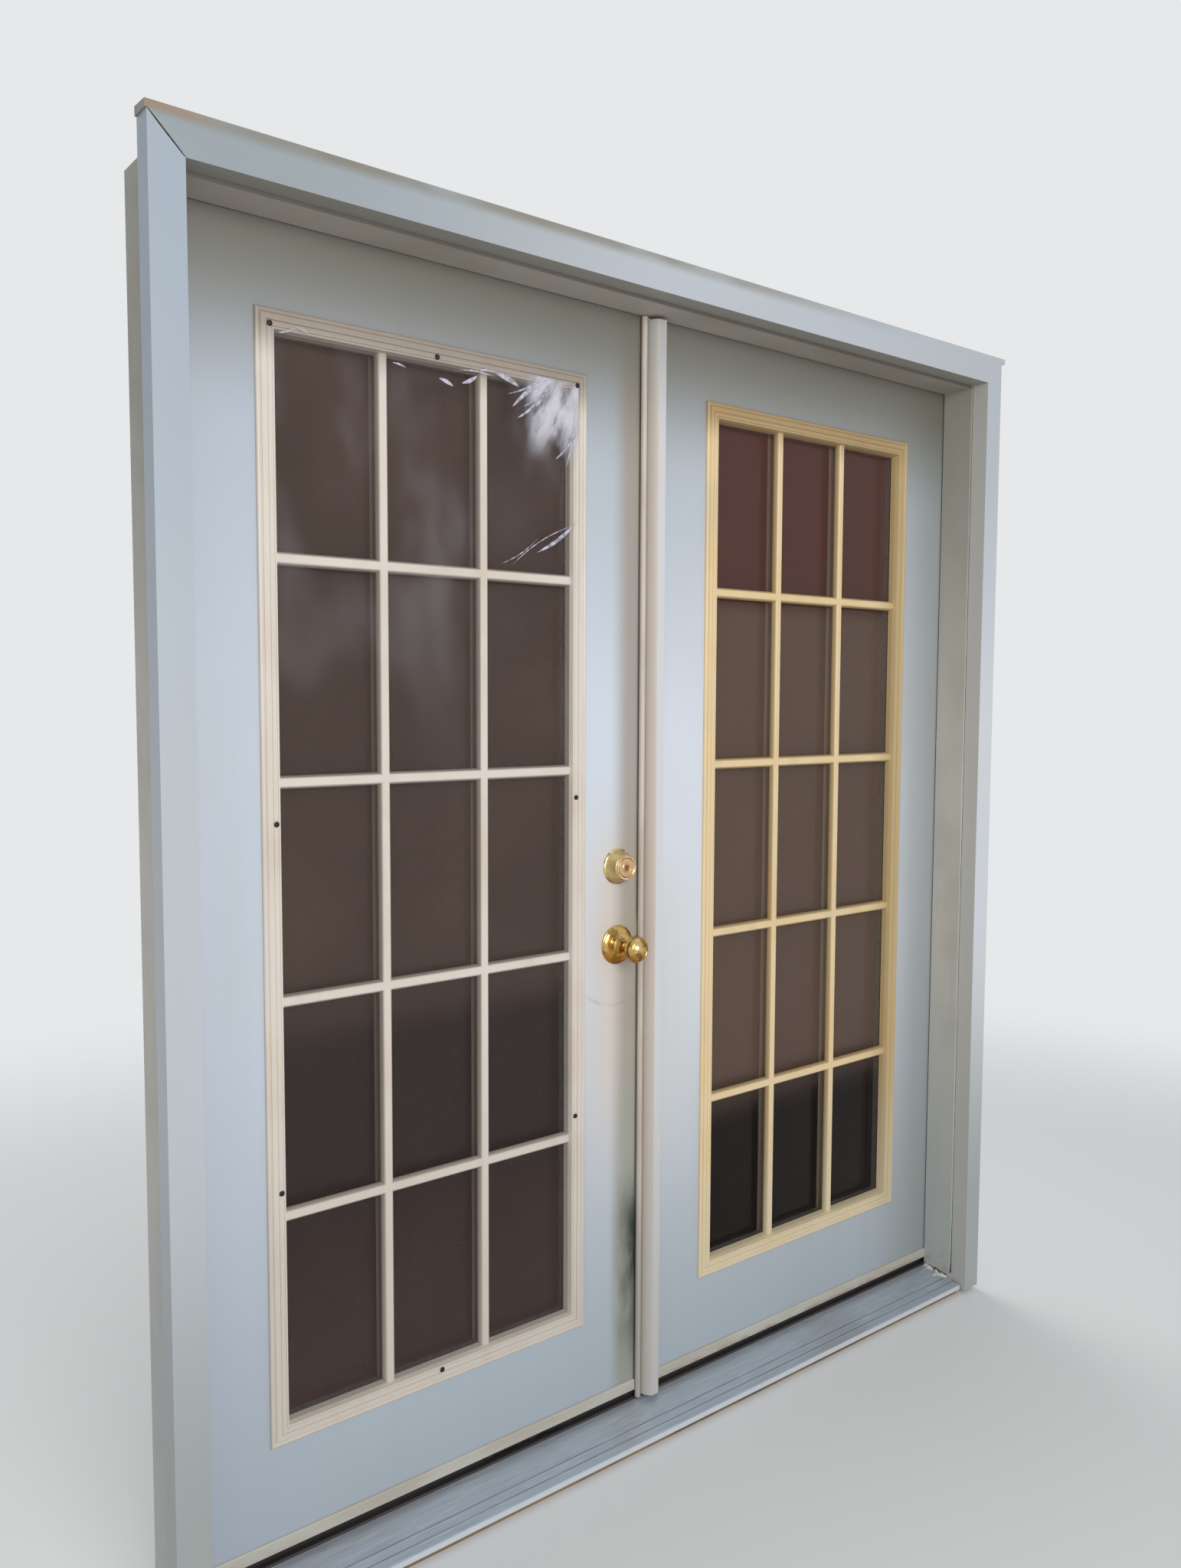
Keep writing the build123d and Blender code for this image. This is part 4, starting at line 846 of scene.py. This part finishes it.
def lock_pieces():
    """Turned trim of the lock set, its profiles in millimetres: a tapered deadbolt collar with its
    cylinder and keyway, and on each side a domed, stepped rose and a knob on a flaring neck. The knob's
    ball is an ellipse, 17 mm times the cosine along and 23.8 mm times the sine across, and its front
    is grooved."""
    collar = rounded(
        [
            (0, 0), (0, 31.5), (2.4, 31.5), (3.2, 29.4), (4.4, 29.0), (5.2, 28.2), (22.8, 22.6),
            (23.6, 21.4), (24.4, 21.6), (27, 21.5), (27, 18.2), (25.4, 17.4), (25.0, 0),
        ],
        0.7,
    )
    place = (lock_x, face_y, bolt_z)
    trim = turned("deadbolt_trim", place, -1, collar, bolt_brass, "active_leaf")
    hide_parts("deadbolt_collar")
    plug = rounded(
        [(24, 0), (24, 16.9), (25.9, 16.9), (26.3, 15.6), (26.3, 9.6), (25.9, 9.0), (26.5, 8.2), (26.6, 0)],
        0.4,
    )
    face = turned("deadbolt_face", place, -1, plug, bolt_brass, "active_leaf")
    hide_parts("deadbolt_cylinder")
    keyway_heights = np.array([[0, 0, 4.6], [0, 0, 1.5], [0, 0, -1.5], [0, 0, -4.6]]) * MM
    spine = keyway_heights + (lock_x, face_y - 26.7 * MM, bolt_z)
    widths = np.array([1.6, 2.4, 1.5, 1.4]) * MM
    ribbon("keyway", spine, (1, 0, 0), widths, 0.1 * MM, gap_shadow, "active_leaf")

    rose = rounded(
        [
            (0, 0), (0, 35), (1.6, 35), (2.8, 34.0), (3.2, 32.6), (4.4, 32.2), (6.6, 29.0), (8.2, 24.0),
            (8.2, 22.6), (9.0, 22.0), (9.0, 14.5), (9.0, 0),
        ],
        1.2,
    )
    neck = [(8, 0), (8, 15.6), (10.2, 15.2), (12.5, 12.4), (17, 10.6), (27, 10.4), (33, 11.2), (36.6, 13.4)]
    turn = np.linspace(0.25 * np.pi, 0.74 * np.pi, 26)
    ball = np.stack([53 - 17 * np.cos(turn), 23.8 * np.sin(turn)], axis=-1)
    front = [ball[-1] + (0.1, -0.6), (65.0, 16.0), (64.2, 14.9), (65.2, 13.9), (68.9, 9.0), (70, 0)]
    knob = np.vstack([rounded(neck, 2.0), ball, rounded(front, 1.4)])
    for side, facing, plane, rose_name, knob_node in (
        ("outer", -1, face_y, "outer_rose", "outer_knob"),
        ("inner", 1, inside_y, "inner_rose", "inner_knob"),
    ):
        place = (lock_x, plane, knob_z)
        disc = turned(rose_name, place, facing, rose, knob_brass, "active_leaf")
        if side == "outer":
            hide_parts("knob_roses")
        handle = turned(f"{side}_round_knob", place, facing, knob, knob_brass, "knobs")
        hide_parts(knob_node)


def ribbon(name, spine, across, widths, thickness, material, body):
    """A thin strip along a spine: each cross line is the spine's point plus and minus half a width."""
    half = 0.5 * np.outer(widths, np.array(across) / np.linalg.norm(across))
    strip = surface(name, np.stack([spine - half, spine + half], axis=1), material, body)
    solid = strip.modifiers.new("strip", "SOLIDIFY")
    solid.thickness = thickness
    solid.offset = 0
    return strip


def storm_sheet_film():
    """A sheet over the glass opening, u across it and v up, both from 0 to 1. Its wave is the sum of a
    slantwise sine of 5.2 turns across and 6 up, in the top share of its height; a sine of 26 times the
    angle about the upper right corner, which dies away with the square of the distance; and a broad
    low swell of 1.3 by 2.2 turns. All are flattened towards the screwed edges. For each unit of the
    wave a crest stands 0.35 mm out and a hollow 0.55 mm in."""
    top_share = 0.28
    corner_reach = 0.16
    u, v = np.meshgrid(np.linspace(0, 1, 120), np.linspace(0, 1, 300))
    width = sheet_box[1].x - sheet_box[0].x
    height = sheet_box[1].z - sheet_box[0].z
    edge = np.minimum(1, 12 * np.minimum.reduce([u, 1 - u, v * 2, (1 - v) * 2]))
    top = np.clip((v - (1 - top_share)) / top_share, 0, 1) ** 1.3
    corner = np.exp(-(((1 - u) * width) ** 2 + ((1 - v) * height) ** 2) / corner_reach**2)
    slant = np.sin(2 * np.pi * (5.2 * u + 6 * (v - 1)) + 1.5 * np.sin(9 * v))
    fan = np.sin(26 * np.arctan2((1.002 - v) * height, (1.002 - u) * width) + 2.0 * v)
    broad = np.sin(2 * np.pi * (1.3 * u + 0.4)) * np.sin(2 * np.pi * 2.2 * v)
    wave = (0.8 * top * slant + 1.4 * corner * fan + 0.35 * broad) * edge
    y = sheet_box[0].y + 0.3 * MM - 0.9 * MM * wave * (wave < 0) - 0.35 * MM * np.abs(wave)
    points = np.stack([sheet_box[0].x + u * width, y, sheet_box[0].z + v * height], axis=-1)
    film = surface("storm_film", points[:, ::-1], storm_film, "active_leaf")
    solid = film.modifiers.new("sheet", "SOLIDIFY")
    solid.thickness = 0.4 * MM
    solid.offset = 0
    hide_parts("storm_sheet")


# Painted highlights on the storm sheet's creases: x and z of where each starts and ends, and its width,
# in millimetres
CREASES = (
    (-295, 1791, -222, 1846, 7.0),
    (-274, 1794, -214, 1841, 3.0),
    (-327, 1839, -282, 1825, 9.0),
    (-304, 1810, -232, 1848, 3.0),
    (-432, 1814, -406, 1806, 6.0),
    (-390, 1813, -361, 1829, 6.0),
    (-396, 1832, -333, 1833, 2.5),
    (-248, 1799, -230, 1827, 5.0),
    (-168, 1795, -186, 1710, 5.0),
    (-246, 1563, -162, 1622, 6.0),
    (-297, 1539, -171, 1614, 1.6),
    (-319, 1539, -244, 1586, 1.4),
    (-668, 1847, -646, 1840, 4.0),
    (-694, 1834, -666, 1846, 3.0),
    (-512, 1824, -489, 1820, 3.0),
    (-285, 1775, -246, 1807, 4.0),
    (-358, 1838, -321, 1840, 4.0),
    (-209, 1718, -164, 1768, 3.5),
)


def storm_crease_highlights():
    """Painted highlights along folds of the storm sheet: white strips whose width is the sine of the way
    along, to the power 0.8, and which bow by a twentieth of their length, to either side in turn."""
    t = np.linspace(0, 1, 24)
    y = sheet_box[0].y - 0.75 * MM
    for number, (x0, z0, x1, z1, width) in enumerate(CREASES):
        start = np.array([x0 * MM, y, z0 * MM])
        run = np.array([(x1 - x0) * MM, 0, (z1 - z0) * MM])
        across = np.array([-run[2], 0, run[0]])
        bow = 0.05 * np.sin(np.pi * t) * (-1) ** number
        spine = start + run * t[:, None] + across * bow[:, None]
        widths = width * MM * (0.08 + np.sin(np.pi * t) ** 0.8)
        name = f"crease_{number}"
        ribbon(name, spine, across, widths, 0.15 * MM, crease_highlight_film, "active_leaf")


def open_joints():
    """Dark slivers where trim has opened: the head's left mitre, as wide as the root of a sine of the
    way along; the right casing against its jamb, wider below 0.19 m and wider still below 0.056 m; and
    ragged gaps under the jamb, open where a random line rises above a set share."""
    rng = np.random.default_rng(4)
    t = np.linspace(0, 1, 40)
    outer = np.array([left_trim[0].x, trim_front - 0.1 * MM, head_trim[1].z])
    inner = np.array([left_trim[1].x, trim_front - 0.1 * MM, head_trim[0].z])
    widths = (0.3 + 1.6 * np.sin(np.pi * t) ** 0.5 + 0.4 * rng.random(t.size)) * MM
    spine = outer + (inner - outer) * t[:, None]
    ribbon("mitre_gap", spine, (1, 0, 1), widths, 0.2 * MM, gap_shadow, "frame")

    z = np.linspace(plate[1].z + 0.004, head_trim[0].z - 0.002, 160)
    low = np.clip((0.19 - z) / 0.15, 0, 1)
    foot = np.clip((0.056 - z) / 0.014, 0, 1)
    widths = (0.7 + 0.6 * rng.random(z.size) + 2.0 * low + 3.0 * foot) * MM
    y = np.full(z.size, right_wood[0].y - 0.1 * MM)
    spine = np.stack([right_trim[0].x - 0.5 * widths, y, z], axis=-1)
    ribbon("casing_gap", spine, (1, 0, 0), widths, 0.2 * MM, gap_shadow, "frame")

    closed_share = 0.42
    y = np.linspace(0.008, 0.066, 90)
    ragged = np.interp(np.linspace(0, 17, y.size), np.arange(18), rng.random(18))
    widths = 15 * MM * np.clip(ragged - closed_share, 0.01, 1)
    spine = np.stack([np.full(y.size, reveal_right - 0.1 * MM), y, sill_top(y) + 4.5 * MM], axis=-1)
    ribbon("jamb_foot_gap", spine, (0, 0, 1), widths, 0.2 * MM, gap_shadow, "frame")


def caulk_bead():
    """Old caulk where the right jamb stands on the sill: a sheet from the jamb's face down to the metal,
    its height falling as (1 - s) squared over a ragged width, with one long chip."""
    rng = np.random.default_rng(9)
    t = np.linspace(0, 1, 90)
    s = np.linspace(0, 1, 8)
    rough = np.interp(t * 29, np.arange(30), rng.random(30))
    chip = np.clip(1 - np.abs(t - 0.36) / 0.14, 0, 1)
    width = (3.0 + 6.0 * rough + 20 * chip) * MM
    y = CAULK_START + CAULK_LENGTH * t
    x = reveal_right - np.outer(width, s)
    z = sill_top(y)[:, None] + 0.25 * MM + 3.2 * MM * (1 - s) ** 2 * (0.6 + 0.6 * rough[:, None])
    points = np.stack([x, np.repeat(y[:, None], s.size, axis=1), z], axis=-1)
    bead = surface("caulk_bead", points, caulk_paint, "frame")
    solid = bead.modifiers.new("bead", "SOLIDIFY")
    solid.thickness = 0.4 * MM
    solid.offset = 0


def torn_fin():
    """A length of the left sweep's fin that has torn free and hangs in front of the others: along it a
    random line brings the strip up to 1 mm further out and makes it up to 3.5 mm wider."""
    rng = np.random.default_rng(5)
    fin_y = 0.0742
    fin_z = 0.0455
    x = np.linspace(-0.345, -0.182, 60)
    sag = np.interp(np.linspace(0, 15, x.size), np.arange(16), rng.random(16))
    spine = np.stack([x, fin_y - MM * sag, np.full(x.size, fin_z)], axis=-1)
    widths = (9.0 + 3.5 * sag) * MM
    ribbon("torn_fin", spine, (0, 0, 1), widths, 0.8 * MM, black_vinyl, "active_leaf")


storm_sheet_film()
storm_crease_highlights()
lock_pieces()
open_joints()
caulk_bead()
torn_fin()


# Floor, light and camera

def world_light():
    """Even cool light on the object. The camera, reflections and what shows through see plain pale
    grey instead."""
    world = bpy.data.worlds.new("studio")
    bpy.context.scene.world = world
    world.use_nodes = True
    tree = world.node_tree
    tree.nodes.clear()
    path = add(tree, "ShaderNodeLightPath")
    seen = path.outputs["Is Camera Ray"]
    for ray in ("Is Glossy Ray", "Is Transmission Ray"):
        seen = add(tree, "ShaderNodeMath", {0: seen, 1: path.outputs[ray]}, operation="MAXIMUM").outputs[0]
    cool_white = (0.92, 0.95, 0.99, 1)
    even = add(tree, "ShaderNodeBackground", {"Color": cool_white, "Strength": 0.55})
    pale = add(tree, "ShaderNodeBackground", {"Color": linear("#E6E8EA"), "Strength": 1.0})
    both = add(tree, "ShaderNodeMixShader", {0: seen, 1: even.outputs[0], 2: pale.outputs[0]})
    add(tree, "ShaderNodeOutputWorld", {"Surface": both.outputs[0]})


def floor():
    """A plain pale floor that fades into the background from 1.9 to 3.6 m out."""
    made = bpy.data.materials.new("plain_floor")
    made.use_nodes = True
    tree = made.node_tree
    tree.nodes.clear()
    coords = add(tree, "ShaderNodeTexCoord").outputs["Object"]
    away = add(tree, "ShaderNodeVectorMath", {0: coords}, operation="LENGTH")
    links = {"Value": away.outputs["Value"], "From Min": 1.9, "From Max": 3.6}
    fade = add(tree, "ShaderNodeMapRange", links, interpolation_type="SMOOTHSTEP")
    shader = add(tree, "ShaderNodeBsdfPrincipled", {"Base Color": linear("#E2E3E3"), "Roughness": 0.9})
    clear = add(tree, "ShaderNodeBsdfTransparent")
    both = add(tree, "ShaderNodeMixShader", {0: fade.outputs[0], 1: shader.outputs[0], 2: clear.outputs[0]})
    add(tree, "ShaderNodeOutputMaterial", {"Surface": both.outputs[0]})
    mesh = bpy.data.meshes.new("floor")
    half = 30.0
    corners = [(-half, -half, 0), (half, -half, 0), (half, half, 0), (-half, half, 0)]
    mesh.from_pydata(corners, [], [(0, 1, 2, 3)])
    mesh.materials.append(made)
    plane = bpy.data.objects.new("floor", mesh)
    bpy.context.scene.collection.objects.link(plane)


def lamp(name, place, target, size, power, colour):
    """A round soft lamp at a place, turned to a target: its size in metres and its power in watts."""
    data = bpy.data.lights.new(name, "AREA")
    data.shape = "DISK"
    data.size = size
    data.energy = power
    data.color = colour
    made = bpy.data.objects.new(name, data)
    made.location = place
    made.rotation_mode = "QUATERNION"
    made.rotation_quaternion = (Vector(target) - Vector(place)).to_track_quat("-Z", "Y")
    bpy.context.scene.collection.objects.link(made)


def camera():
    """Stands where the photograph was taken: left of the doors, a little above the knob's height."""
    pan = np.radians(CAMERA_PAN)
    tilt = np.radians(CAMERA_TILT)
    roll = np.radians(CAMERA_ROLL)
    ahead = Vector((np.sin(pan) * np.cos(tilt), np.cos(pan) * np.cos(tilt), np.sin(tilt)))
    right = Vector((np.cos(pan), -np.sin(pan), 0.0))
    up = right.cross(ahead)
    turned_right = np.cos(roll) * right + np.sin(roll) * up
    turned_up = -np.sin(roll) * right + np.cos(roll) * up
    data = bpy.data.cameras.new("camera")
    data.sensor_width = 36.0
    data.lens = FOCAL_PIXELS * data.sensor_width / PHOTO_HEIGHT
    made = bpy.data.objects.new("camera", data)
    basis = Matrix((turned_right, turned_up, -ahead)).transposed().to_4x4()
    made.matrix_world = Matrix.Translation(CAMERA_PLACE) @ basis
    bpy.context.scene.collection.objects.link(made)
    bpy.context.scene.camera = made


# One soft lamp in front of the doors and one behind them, above
world_light()
floor()
lamp("key", (-1.2, -3.3, 2.1), (0, 0, 1.1), 2.0, 78, (1.0, 0.99, 0.97))
lamp("inside", (1.0, 3.5, 3.2), (0, 0, 1.0), 3.0, 60, (1.0, 0.98, 0.95))
camera()
bpy.context.scene.view_settings.view_transform = "Standard"
